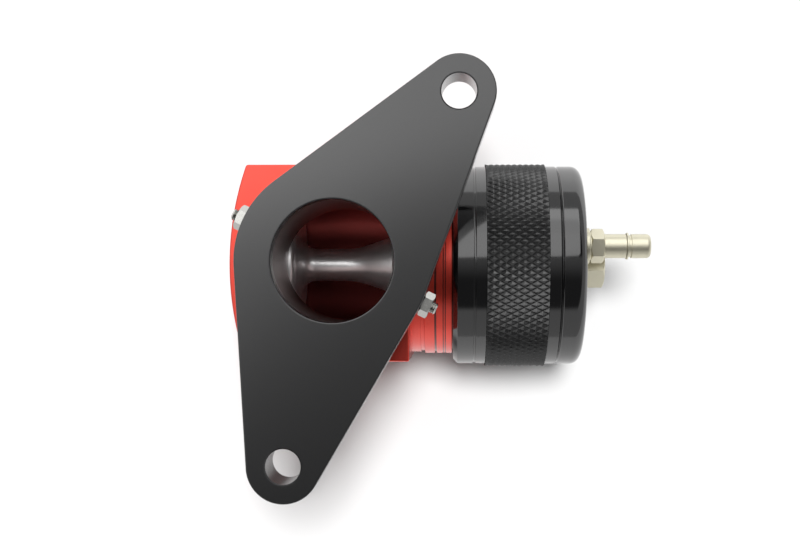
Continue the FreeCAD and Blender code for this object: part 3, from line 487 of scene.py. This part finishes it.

# Return spring: a coil of spring steel wire between the cup and the cap.
steel = Finish("spring_steel", (0.42, 0.42, 0.44), 0.30, metallic=1.0)
steel.vary("Roughness", steel.noise(0.5).ramp(0.3, 0.7, 0.22, 0.38))
WIRE, WIRE_SIDES = 1.8, 20
SPRING = (36.0, 57.3)
COIL_RADIUS = 14.9
TURNS, STEPS_PER_TURN = 3.75, 72
spring_length = SPRING[1] - SPRING[0]
coil_steps = int(STEPS_PER_TURN * TURNS)
bpy.ops.object.select_all(action="DESELECT")
bpy.ops.mesh.primitive_circle_add(vertices=WIRE_SIDES, radius=WIRE / 2 * MM,
                                  rotation=(math.pi / 2, 0, 0))
return_coil = bpy.context.object
return_coil.name = "return_coil"
bpy.ops.object.transform_apply(location=False, rotation=True, scale=False)
for vertex in return_coil.data.vertices:
    vertex.co += Z * COIL_RADIUS * MM
modified(return_coil, "SCREW", axis="X", angle=math.tau * TURNS,
         screw_offset=(spring_length - WIRE) * MM, steps=coil_steps, render_steps=coil_steps,
         use_smooth_shade=True)
bpy.ops.object.mode_set(mode="EDIT")
bpy.ops.mesh.select_all(action="SELECT")
bpy.ops.mesh.fill_holes(sides=0)
bpy.ops.mesh.select_all(action="SELECT")
bpy.ops.mesh.normals_make_consistent(inside=False)
bpy.ops.object.mode_set(mode="OBJECT")
return_coil.location = AXIS + X * (SPRING[0] + WIRE / 2) * MM
bpy.ops.object.transform_apply(location=True, rotation=False, scale=False)
fitted(return_coil, steel.material, "spring_steel", "valve", "return_spring")
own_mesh(return_coil)

# Seat ring and its clip: a ring turned from aluminium, pushed into the mouth against a shoulder,
# and the spring steel circlip that snaps into the groove in front of it.
plain("seat_ring", aluminium)
plain("seat_clip", steel)

# Cap: turned from aluminium bar and anodised gloss black, with a knurled band for the hand. Its
# end wall meets the spigot, which it screws onto, and has holes for the plug and the nipple.
CAP_MARKS = 0.25
gloss_black = Finish("gloss_black", (0.003, 0.003, 0.0035), 0.10, ior=1.76)
marks = gloss_black.rings(CAP_MARKS)
gloss_black.vary("Roughness", 0.07 + 0.07 * marks)
gloss_black.emboss(marks, 0.002, 0.35)

CAP_START, CAP_END, CAP_END_ROUND = 28.9, 63.1, 2.6
CAP_RADIUS, CAP_BORE = 27.05, 23.05
CAP_CHAMFER, CAP_MOUTH_EDGE, CAP_EDGE = 1.15, 0.15, 0.3
CAP_GROOVE = (34.25, 34.8, 26.7)
CAP_VEE = (56.3, 57.2, 26.6)
GROOVE_EDGE = 0.08
KNURL_START, KNURL_END, KNURL_RADIUS = 37.6, 53.4, 27.65
KNURL_STEP, KNURL_BED = 0.1, 0.2
PLUG_THREAD, NIPPLE_THREAD = 4.87, 3.02
NIPPLE_OFFSET = Vector((0, 4.9008, 10.0041))
NIPPLE = AXIS + NIPPLE_OFFSET * MM
HOLE_START, HOLE_END = 50, 70
shell = [(CAP_START, CAP_BORE), (CAP_START, CAP_RADIUS - CAP_CHAMFER, CAP_MOUTH_EDGE)]
shell += [(CAP_START + CAP_CHAMFER, CAP_RADIUS, CAP_EDGE)]
shell += [(CAP_GROOVE[0], CAP_RADIUS, GROOVE_EDGE), (CAP_GROOVE[0], CAP_GROOVE[2], GROOVE_EDGE)]
shell += [(CAP_GROOVE[1], CAP_GROOVE[2], GROOVE_EDGE), (CAP_GROOVE[1], CAP_RADIUS, GROOVE_EDGE)]
shell += [(KNURL_START - KNURL_STEP, CAP_RADIUS, GROOVE_EDGE)]
shell += [(KNURL_START + KNURL_STEP, CAP_RADIUS - KNURL_BED)]
shell += [(KNURL_END - KNURL_STEP, CAP_RADIUS - KNURL_BED)]
shell += [(KNURL_END + KNURL_STEP, CAP_RADIUS, GROOVE_EDGE)]
shell += [(CAP_VEE[0], CAP_RADIUS, GROOVE_EDGE), (sum(CAP_VEE[:2]) / 2, CAP_VEE[2], GROOVE_EDGE)]
shell += [(CAP_VEE[1], CAP_RADIUS, GROOVE_EDGE)]
shell += [(CAP_END, CAP_RADIUS, CAP_END_ROUND), (CAP_END, 0)]
shell += [(SPIGOT_END, 0), (SPIGOT_END, CAP_BORE)]
knurled_cap = turned("knurled_cap", shell, steps=256)
for middle, radius in ((AXIS, PLUG_THREAD), (NIPPLE, NIPPLE_THREAD)):
    hole = [(HOLE_START, 0), (HOLE_START, radius), (HOLE_END, radius), (HOLE_END, 0)]
    cut(knurled_cap, turned("hole", hole, middle, steps=64))
knurled_cap.data.materials.append(gloss_black.material)

# Knurl: one crowned diamond, repeated round the cap and in rows that interlock. The rows at the
# ends are cut off straight, and the band is closed behind and becomes part of the cap.
knurl_black = Finish("knurl_black", (0.005, 0.005, 0.0055), 0.32, ior=1.74)
knurl_black.vary("Roughness", knurl_black.noise(0.5).ramp(0.3, 0.7, 0.26, 0.38))
DIAMONDS = 94
ROWS = 5
CROWN = ((0.56, 0.45), (0.14, 0.08), (0.04, 0.02))
BAND_INSIDE = 0.95
COPY_GAP, ROW_GAP = 0.01, 0.02
row_pitch = (KNURL_END - KNURL_START) / ROWS
floor_radius = KNURL_RADIUS - sum(rise for inset, rise in CROWN)
half_width = floor_radius * math.tan(math.pi / DIAMONDS)
bpy.ops.object.select_all(action="DESELECT")
bpy.ops.mesh.primitive_circle_add(vertices=4, radius=MM, fill_type="NGON")
knurl = bpy.context.object
knurl.name = "knurl"
for vertex in knurl.data.vertices:
    along, across = vertex.co.y * row_pitch / 2, -vertex.co.x * half_width
    vertex.co = AXIS + Vector((along + KNURL_START * MM, across, floor_radius * MM))
bpy.ops.object.mode_set(mode="EDIT")
bpy.ops.mesh.select_all(action="SELECT")
for inset, rise in CROWN:
    bpy.ops.mesh.inset(thickness=inset * MM, depth=rise * MM)
bpy.ops.mesh.select_all(action="SELECT")
bpy.ops.mesh.spin(steps=DIAMONDS, dupli=True, angle=math.tau, center=AXIS, axis=X)
bpy.ops.object.mode_set(mode="OBJECT")
modified(knurl, "WELD", merge_threshold=COPY_GAP * MM)
modified(knurl, "ARRAY", count=ROWS + 2, use_relative_offset=False, use_constant_offset=True,
         constant_offset_displace=X * row_pitch * MM)
bpy.ops.object.duplicate()
bpy.ops.object.mode_set(mode="EDIT")
bpy.ops.mesh.select_all(action="SELECT")
bpy.ops.transform.rotate(value=math.pi / DIAMONDS, orient_axis="X", center_override=AXIS)
bpy.ops.transform.translate(value=X * row_pitch / 2 * MM)
bpy.ops.object.mode_set(mode="OBJECT")
knurl.select_set(True)
bpy.context.view_layer.objects.active = knurl
bpy.ops.object.join()
bpy.ops.object.mode_set(mode="EDIT")
bpy.ops.mesh.select_all(action="SELECT")
bpy.ops.mesh.remove_doubles(threshold=ROW_GAP * MM)
for place, inner in ((KNURL_START, True), (KNURL_END, False)):
    bpy.ops.mesh.select_all(action="SELECT")
    bpy.ops.mesh.bisect(plane_co=AXIS + X * place * MM, plane_no=X, clear_inner=inner,
                        clear_outer=not inner)
bpy.ops.mesh.select_mode(type="EDGE")
bpy.ops.mesh.select_all(action="DESELECT")
bpy.ops.mesh.select_non_manifold()
bpy.ops.mesh.extrude_edges_move()
bpy.ops.transform.resize(value=(1, BAND_INSIDE, BAND_INSIDE), center_override=AXIS)
bpy.ops.mesh.bridge_edge_loops()
bpy.ops.mesh.select_all(action="SELECT")
bpy.ops.mesh.normals_make_consistent(inside=False)
bpy.ops.object.mode_set(mode="OBJECT")
knurl.data.materials.append(knurl_black.material)
alone(knurled_cap)
knurl.select_set(True)
bpy.ops.object.join()
fitted(knurled_cap, gloss_black.material, "black_cap", "valve", "cap")

# Hex plug: nickel-plated brass, screwed into the cap on the valve's axis over a sealing washer.
# The hexagon is milled, and its corners are turned off at the end.
nickel = Finish("nickel_brass", (0.65, 0.62, 0.49), 0.44, metallic=1.0)
haze = nickel.noise(0.7, detail=4.0)
nickel.vary("Roughness", 0.36 + 0.16 * haze)
nickel.emboss(haze, 0.004, 0.4)
CORNER_SLOPE = math.tan(math.radians(30))
FACE_SHARE, BLANK_REACH, CLEAR = 0.98, 1.2, 0.1
HEX_EDGE, HEX_EDGE_ANGLE = 0.06, 25
RIM_EDGE = 0.2


def hexagon(name, flats, start, end, centre, turn, bevels, along=X, side=Y):
    """A hex blank along an axis, its corners turned off at the ends that bevels names."""
    across = along.cross(side)
    corner = flats / math.sqrt(3)
    spots = []
    for i in range(6):
        angle = math.radians(turn + 60 * i)
        spot = along * start + (side * math.cos(angle) + across * math.sin(angle)) * corner
        spots.append(centre + spot * MM)
    piece = prism(name, spots, along * (end - start) * MM)
    reach = corner * BLANK_REACH
    face = flats / 2 * FACE_SHARE
    slant = (reach - face) * CORNER_SLOPE
    shape = [(start - CLEAR, 0)]
    if "start" in bevels:
        shape += [(start - CLEAR, face), (start, face), (start + slant, reach)]
    else:
        shape += [(start - CLEAR, reach)]
    if "end" in bevels:
        shape += [(end - slant, reach), (end, face), (end + CLEAR, face)]
    else:
        shape += [(end + CLEAR, reach)]
    shape += [(end + CLEAR, 0)]
    cut(piece, turned("blank", shape, centre, along, side, steps=96), operation="INTERSECT")
    eased(piece, HEX_EDGE, segments=2, sharper_than=HEX_EDGE_ANGLE)
    return piece


def washer(name, start, end, bore, rim, centre=AXIS):
    """A flat sealing washer with its rim rounded."""
    corners = [(start, bore), (start, rim, RIM_EDGE), (end, rim, RIM_EDGE), (end, bore)]
    return turned(name, corners, centre, steps=96)


PLUG_FLATS, PLUG_TURN = 11.1, 44.6
PLUG_START, PLUG_END = 64.6, 69.9
STUD_RADIUS, STUD_TOP = 4.85, 65.0
PLUG_WASHER = 5.9
hex_plug = hexagon("hex_plug", PLUG_FLATS, PLUG_START, PLUG_END, AXIS, PLUG_TURN, ["end"])
stud = [(SPIGOT_END, 0), (SPIGOT_END, STUD_RADIUS), (STUD_TOP, STUD_RADIUS), (STUD_TOP, 0)]
cut(hex_plug, turned("stud", stud, steps=64), operation="UNION")
fitted(hex_plug, nickel.material, "nickel_brass", "valve", "end_plug")
plug_seal = washer("plug_seal", CAP_END, PLUG_START, PLUG_THREAD, PLUG_WASHER)
fitted(plug_seal, nickel.material, "nickel_brass", "valve", "plug_washer")

# Hose nipple: nickel-plated brass too, turned with a shank in the cap, a foot on its washer, a
# milled hexagon and a stem. One ridge on the stem grips the vacuum hose.
NIPPLE_BORE = 1.8
SHANK_START, SHANK_RADIUS, SHANK_EDGE = 58.3, 3.0, 0.3
NIPPLE_WASHER = 4.8
FOOT_START, FOOT_RADIUS, FOOT_EDGE = 65.0, 3.9, 0.15
HEX_START, HEX_END, HEX_CORE = 65.35, 68.85, 3.6
NIPPLE_FLATS, NIPPLE_TURN = 8.0, 8.0
HOSE_RADIUS, HOSE_FILLET = 3.2, 0.15
RIDGE_START, RIDGE_TOP, RIDGE_END, RIDGE_RADIUS = 74.65, 74.85, 75.25, 3.55
RIDGE_FRONT_EDGE, RIDGE_BACK_EDGE = 0.08, 0.05
RELIEF_END, RELIEF_RADIUS, RELIEF_EDGE = 76.05, 2.9, 0.1
NIPPLE_END, NIPPLE_ROUND, NIPPLE_BORE_EDGE = 81.15, 1.0, 0.2
CORE_START, CORE_END, CORE_RADIUS = 60, 75, 2.4
barbed = [(SHANK_START, NIPPLE_BORE), (SHANK_START, SHANK_RADIUS, SHANK_EDGE)]
barbed += [(FOOT_START, SHANK_RADIUS), (FOOT_START, FOOT_RADIUS, FOOT_EDGE)]
barbed += [(HEX_START, FOOT_RADIUS), (HEX_START, HEX_CORE), (HEX_END, HEX_CORE)]
barbed += [(HEX_END, HOSE_RADIUS, HOSE_FILLET), (RIDGE_START, HOSE_RADIUS)]
barbed += [(RIDGE_TOP, RIDGE_RADIUS, RIDGE_FRONT_EDGE), (RIDGE_END, RIDGE_RADIUS, RIDGE_BACK_EDGE)]
barbed += [(RIDGE_END, RELIEF_RADIUS), (RELIEF_END, RELIEF_RADIUS)]
barbed += [(RELIEF_END, HOSE_RADIUS, RELIEF_EDGE)]
barbed += [(NIPPLE_END, HOSE_RADIUS, NIPPLE_ROUND), (NIPPLE_END, NIPPLE_BORE, NIPPLE_BORE_EDGE)]
hose_stem = turned("hose_stem", barbed, NIPPLE, steps=96)
nipple_hex = hexagon("nipple_hex", NIPPLE_FLATS, HEX_START, HEX_END, NIPPLE, NIPPLE_TURN,
                     ["start", "end"])
core = [(CORE_START, 0), (CORE_START, CORE_RADIUS), (CORE_END, CORE_RADIUS), (CORE_END, 0)]
cut(nipple_hex, turned("bore", core, NIPPLE, steps=64))
cut(hose_stem, nipple_hex, operation="UNION")
fitted(hose_stem, nickel.material, "nickel_brass", "valve", "hose_nipple")
nipple_seal = washer("nipple_seal", CAP_END, FOOT_START, NIPPLE_THREAD, NIPPLE_WASHER, NIPPLE)
fitted(nipple_seal, nickel.material, "nickel_brass", "valve", "nipple_washer")

# Flange adapter: plate and collar in one piece of aluminium, milled and turned, anodised satin
# black. Its socket turns on the body's boss until the two lock screws hold it.
satin_black = Finish("satin_black", (0.006, 0.006, 0.0065), 0.20, ior=1.71)
grain = satin_black.noise(0.3, detail=4.0)
satin_black.vary("Roughness", 0.18 + 0.05 * grain)
satin_black.emboss(grain, 0.004, 0.4)

PLATE, PLATE_EDGE = 12.7, 0.35
HUB = 23.6
LOBE = 8.95
BOLT_HALF, BOLT_OFFSET = 49.4, 10.3
BOLT_LINE = 65.0
BOLT_HOLE, BOLT_CHAMFER = 4.25, 0.3
COLLAR_BOTTOM, COLLAR_ROOT, COLLAR_RADIUS, COLLAR_EDGE = -21.45, -11, 23.58, 0.4
PLATE_PORT, PORT_EDGE = 14.75, 0.35
SOCKET_RADIUS, SOCKET_ROOF, SOCKET_END = 18.5, -3.6, -23
lean = math.degrees(math.atan2(-BOLT_OFFSET, BOLT_HALF))
swing = math.degrees(math.acos((HUB - LOBE) / math.hypot(BOLT_HALF, BOLT_OFFSET)))
upper, lower = lean + swing, lean - swing


def swung(side):
    """Centre of a lobe, with the bolt line at its angle."""
    angle = math.radians(BOLT_LINE)
    x, y = side * BOLT_HALF, -BOLT_OFFSET
    return (x * math.cos(angle) - y * math.sin(angle), x * math.sin(angle) + y * math.cos(angle))


edge = arc(swung(1), LOBE, BOLT_LINE + lower, BOLT_LINE + upper, steps=56)
edge += arc((0, 0), HUB, BOLT_LINE + upper, BOLT_LINE + 180 - upper, steps=40)
edge += arc(swung(-1), LOBE, BOLT_LINE + 180 - upper, BOLT_LINE + 180 - lower, steps=56)
edge += arc((0, 0), HUB, BOLT_LINE + 180 - lower, BOLT_LINE + 360 + lower, steps=8)
underside = [Vector((x, y, -PLATE)) * MM for x, y in edge]
flange_plate = prism("flange_plate", underside, Z * PLATE * MM)
eased(flange_plate, PLATE_EDGE)
collar = [(COLLAR_ROOT, 0), (COLLAR_ROOT, COLLAR_RADIUS)]
collar += [(COLLAR_BOTTOM, COLLAR_RADIUS, COLLAR_EDGE), (COLLAR_BOTTOM, 0)]
cut(flange_plate, turned("collar", collar, PORT, Z, X), operation="UNION")
port_rim = PLATE_PORT + PORT_EDGE
socket = [(PAST_FACE, 0), (PAST_FACE, port_rim)]
socket += arc((-PORT_EDGE, port_rim), PORT_EDGE, 0, -90, steps=5)
socket += [(SOCKET_ROOF, PLATE_PORT), (SOCKET_ROOF, SOCKET_RADIUS)]
socket += [(SOCKET_END, SOCKET_RADIUS), (SOCKET_END, 0)]
cut(flange_plate, turned("socket", socket, PORT, Z, X))
bolt_rim = BOLT_HOLE + BOLT_CHAMFER
for side in (1, -1):
    spot = Vector((*swung(side), 0)) * MM
    hole = [(PAST_FACE, 0), (PAST_FACE, bolt_rim), (0, bolt_rim), (-BOLT_CHAMFER, BOLT_HOLE)]
    hole += [(BOLT_CHAMFER - PLATE, BOLT_HOLE), (-PLATE, bolt_rim)]
    hole += [(-PLATE - PAST_FACE, bolt_rim), (-PLATE - PAST_FACE, 0)]
    cut(flange_plate, turned("hole", hole, spot, Z, X, steps=96))
LOCK_DEPTH = -6.35
LOCK_HOLE, LOCK_HOLE_REACH = 1.52, 25
lock_angle = math.radians(BOLT_LINE - 90)
lock_line = Vector((math.cos(lock_angle), math.sin(lock_angle), 0))
lock_centre = Z * LOCK_DEPTH * MM
drilled = [(-LOCK_HOLE_REACH, 0), (-LOCK_HOLE_REACH, LOCK_HOLE)]
drilled += [(LOCK_HOLE_REACH, LOCK_HOLE), (LOCK_HOLE_REACH, 0)]
cut(flange_plate, turned("drilling", drilled, lock_centre, lock_line, Z, steps=48))
fitted(flange_plate, satin_black.material, "black_plate", "flange", "flange_adapter")

# Lock screws and nuts: two M3 set screws of zinc-plated steel go through the plate's rim, with
# their points in the boss's groove and a socket for a hex key outside. A hex nut locks each.
POINT, POINT_RADIUS = 17.35, 1.0
THREAD_START, THREAD_END, THREAD_PITCH = 18.75, 27.5, 0.5
THREAD_FIRST, THREAD_ROOT, THREAD_CREST = 1.25, 1.22, 1.5
SCREW_END, SCREW_END_RADIUS = 27.4, 1.1
KEY_FLATS, KEY_FLOOR, KEY_END = 1.5, 26.3, 28.0
NUT_FLATS, NUT_START, NUT_END = 5.5, 23.6, 26.0
NUT_BORE_START, NUT_FLARE, NUT_BORE_END, NUT_MOUTH = 22, 25.7, 26.2, 2.0
for label, way in (("right", 1), ("left", -1)):
    line = lock_line * way
    screw = [(POINT, 0), (POINT, POINT_RADIUS), (THREAD_START, POINT_RADIUS)]
    screw += [(THREAD_START, THREAD_FIRST)]
    for turn in range(int((THREAD_END - THREAD_START) / THREAD_PITCH)):
        root = THREAD_START + turn * THREAD_PITCH
        screw += [(root + THREAD_PITCH / 2, THREAD_CREST), (root + THREAD_PITCH, THREAD_ROOT)]
    screw += [(SCREW_END, SCREW_END_RADIUS), (SCREW_END, 0)]
    set_screw = turned("set_screw_" + label, screw, lock_centre, line, Z, steps=48)
    cut(set_screw, hexagon("key", KEY_FLATS, KEY_FLOOR, KEY_END, lock_centre, 0, [], line, Z))
    fitted(set_screw, zinc.material, "zinc_steel", "flange", "lock_screw_" + label)
    hex_nut = hexagon("hex_nut_" + label, NUT_FLATS, NUT_START, NUT_END, lock_centre, 90,
                      ["start", "end"], line, Z)
    bore = [(NUT_BORE_START, 0), (NUT_BORE_START, LOCK_HOLE), (NUT_FLARE, LOCK_HOLE)]
    bore += [(NUT_BORE_END, NUT_MOUTH), (NUT_BORE_END, 0)]
    cut(hex_nut, turned("bore", bore, lock_centre, line, Z, steps=48))
    fitted(hex_nut, zinc.material, "zinc_steel", "flange", "lock_nut_" + label)

# Floor: a plain pale table top. The valve rests on it with its knurl and with the low edge of the
# block's curved end. Reflections see its far part brighter, as in the photograph: a painted glow
# that glossy rays alone see, rising along the floor.
pale = Finish("pale_floor", (0.62, 0.62, 0.62), 0.9)
FLOOR_SIZE = 4.0
LIT_FROM, LIT_FULL, LIT = 30, 110, 0.5
rest_left = Vector((-END_LEFT, 0, block_floor)) * MM
rest_right = Vector((KNURL_START, 0, AXIS.z / MM - KNURL_RADIUS)) * MM
slope = math.atan2(rest_left.z - rest_right.z, rest_right.x - rest_left.x)
bpy.ops.object.select_all(action="DESELECT")
bpy.ops.mesh.primitive_plane_add(size=FLOOR_SIZE, location=(rest_left + rest_right) / 2,
                                 rotation=(0, slope, 0))
floor = bpy.context.object
floor.name = "floor"
# Painted glow: the floor emits for glossy rays, more strongly further along it.
mirrored = pale.node("ShaderNodeLightPath", {}, {}, "Is Glossy Ray")
painted_far_glow = mirrored * pale.part("Y").ramp(LIT_FROM, LIT_FULL)
pale.vary("Emission Color", pale.mix(painted_far_glow, (0, 0, 0, 1), (1, 1, 1, 1)))
pale.vary("Emission Strength", LIT)
pale.vary("Specular IOR Level", 0.0)
floor.data.materials.append(pale.material)
floor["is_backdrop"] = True

# Surroundings: pale walls low down, and a dim ceiling that brightens towards the key light and is
# dark beyond it, with a bright panel overhead at the left. The camera itself sees plain white
# behind the valve.
WALLS, WALL_TOP = 0.65, (0.56, 0.66)
CEILING_DARK, CEILING_PALE, CEILING_RISE = 0.08, 0.42, (-0.34, 0.12)
PANEL, PANEL_ACROSS, PANEL_UP = 1.45, (0.11, 0.18), (0.76, 0.84)
LEFT_AND_AWAY = (-1, 1, 0)
BEYOND_KEY, KEY_EDGE = 0.1, (0.11, 0.17)
world = bpy.data.worlds.new("studio")
world.use_nodes = True
bpy.context.scene.world = world
studio = Nodes(world.node_tree)
background = studio.tree.nodes["Background"]
direction = studio.node("ShaderNodeTexCoord", {}, {}, "Generated")
north = studio.node("ShaderNodeSeparateXYZ", {}, {0: direction}, "Y")
up = studio.node("ShaderNodeSeparateXYZ", {}, {0: direction}, "Z")
values = {0: direction, 1: LEFT_AND_AWAY}
leftward = studio.node("ShaderNodeVectorMath", {"operation": "DOT_PRODUCT"}, values, "Value")
panel = leftward.ramp(*PANEL_ACROSS, 0.0, PANEL) * up.ramp(*PANEL_UP)
ceiling = north.ramp(*CEILING_RISE, CEILING_DARK, CEILING_PALE).greatest(panel)
ceiling *= north.ramp(*KEY_EDGE, 1.0, BEYOND_KEY)
walls = up.ramp(*WALL_TOP, WALLS, ceiling)
seen = walls.greatest(studio.node("ShaderNodeLightPath", {}, {}, "Is Camera Ray"))
studio.put(background.inputs["Strength"], seen)
studio.put(background.inputs["Color"], (1, 1, 1, 1))

# Lamps: a large soft box behind the valve, steeply above it, lights the valve alone. The floor has
# a lamp of its own, nearly overhead, which keeps it white and its shadow short.
KEY_AZIMUTH, KEY_POLAR, KEY_DISTANCE = math.radians(100), math.radians(35.25), 0.6
KEY_SIZE = (0.9, 0.653)
KEY_RADIANCE = 2.0
FLOOR_SUN_TILT = (math.radians(-11.5), math.radians(3.5), 0)
FLOOR_SUN_SPREAD = math.radians(17)
FLOOR_SUN = 4.3
key_way = Vector((math.sin(KEY_POLAR) * math.cos(KEY_AZIMUTH),
                  math.sin(KEY_POLAR) * math.sin(KEY_AZIMUTH), math.cos(KEY_POLAR)))
bpy.ops.object.light_add(type="AREA", location=AXIS + key_way * KEY_DISTANCE)
key_light = bpy.context.object
key_light.name = "key_light"
key_light.rotation_euler = key_way.to_track_quat("Z", "Y").to_euler()
key_light.data.shape = "RECTANGLE"
key_light.data.size, key_light.data.size_y = KEY_SIZE
key_light.data.energy = KEY_RADIANCE * math.pi * KEY_SIZE[0] * KEY_SIZE[1]
key_light.visible_camera = False
bpy.ops.object.light_add(type="SUN", location=AXIS + Z)
floor_lamp = bpy.context.object
floor_lamp.name = "floor_lamp"
floor_lamp.rotation_euler = FLOOR_SUN_TILT
floor_lamp.data.angle = FLOOR_SUN_SPREAD
floor_lamp.data.energy = FLOOR_SUN
for lamp, state in ((floor_lamp, "INCLUDE"), (key_light, "EXCLUDE")):
    lit = bpy.data.collections.new(lamp.name + "_lit")
    lit.objects.link(floor)
    lit.collection_objects[0].light_linking.link_state = state
    lamp.light_linking.receiver_collection = lit

# Camera: above the mounting face and looking down, as the photograph was taken, with the whole
# valve in view. Its focal length is known in pixels of the photograph.
FOCAL = 1184.0
IMAGE_WIDTH = 800.0
SENSOR = 36.0
EYE = Vector((28.75, -6.71, 280.5)) * MM
TILT = [math.radians(angle) for angle in (0.547, 2.544, 0.152)]
bpy.ops.object.camera_add(location=EYE, rotation=TILT)
camera = bpy.context.object
camera.data.sensor_width = SENSOR
camera.data.lens = FOCAL * SENSOR / IMAGE_WIDTH
bpy.context.scene.camera = camera
bpy.context.scene.view_settings.view_transform = "Standard"

low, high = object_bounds()
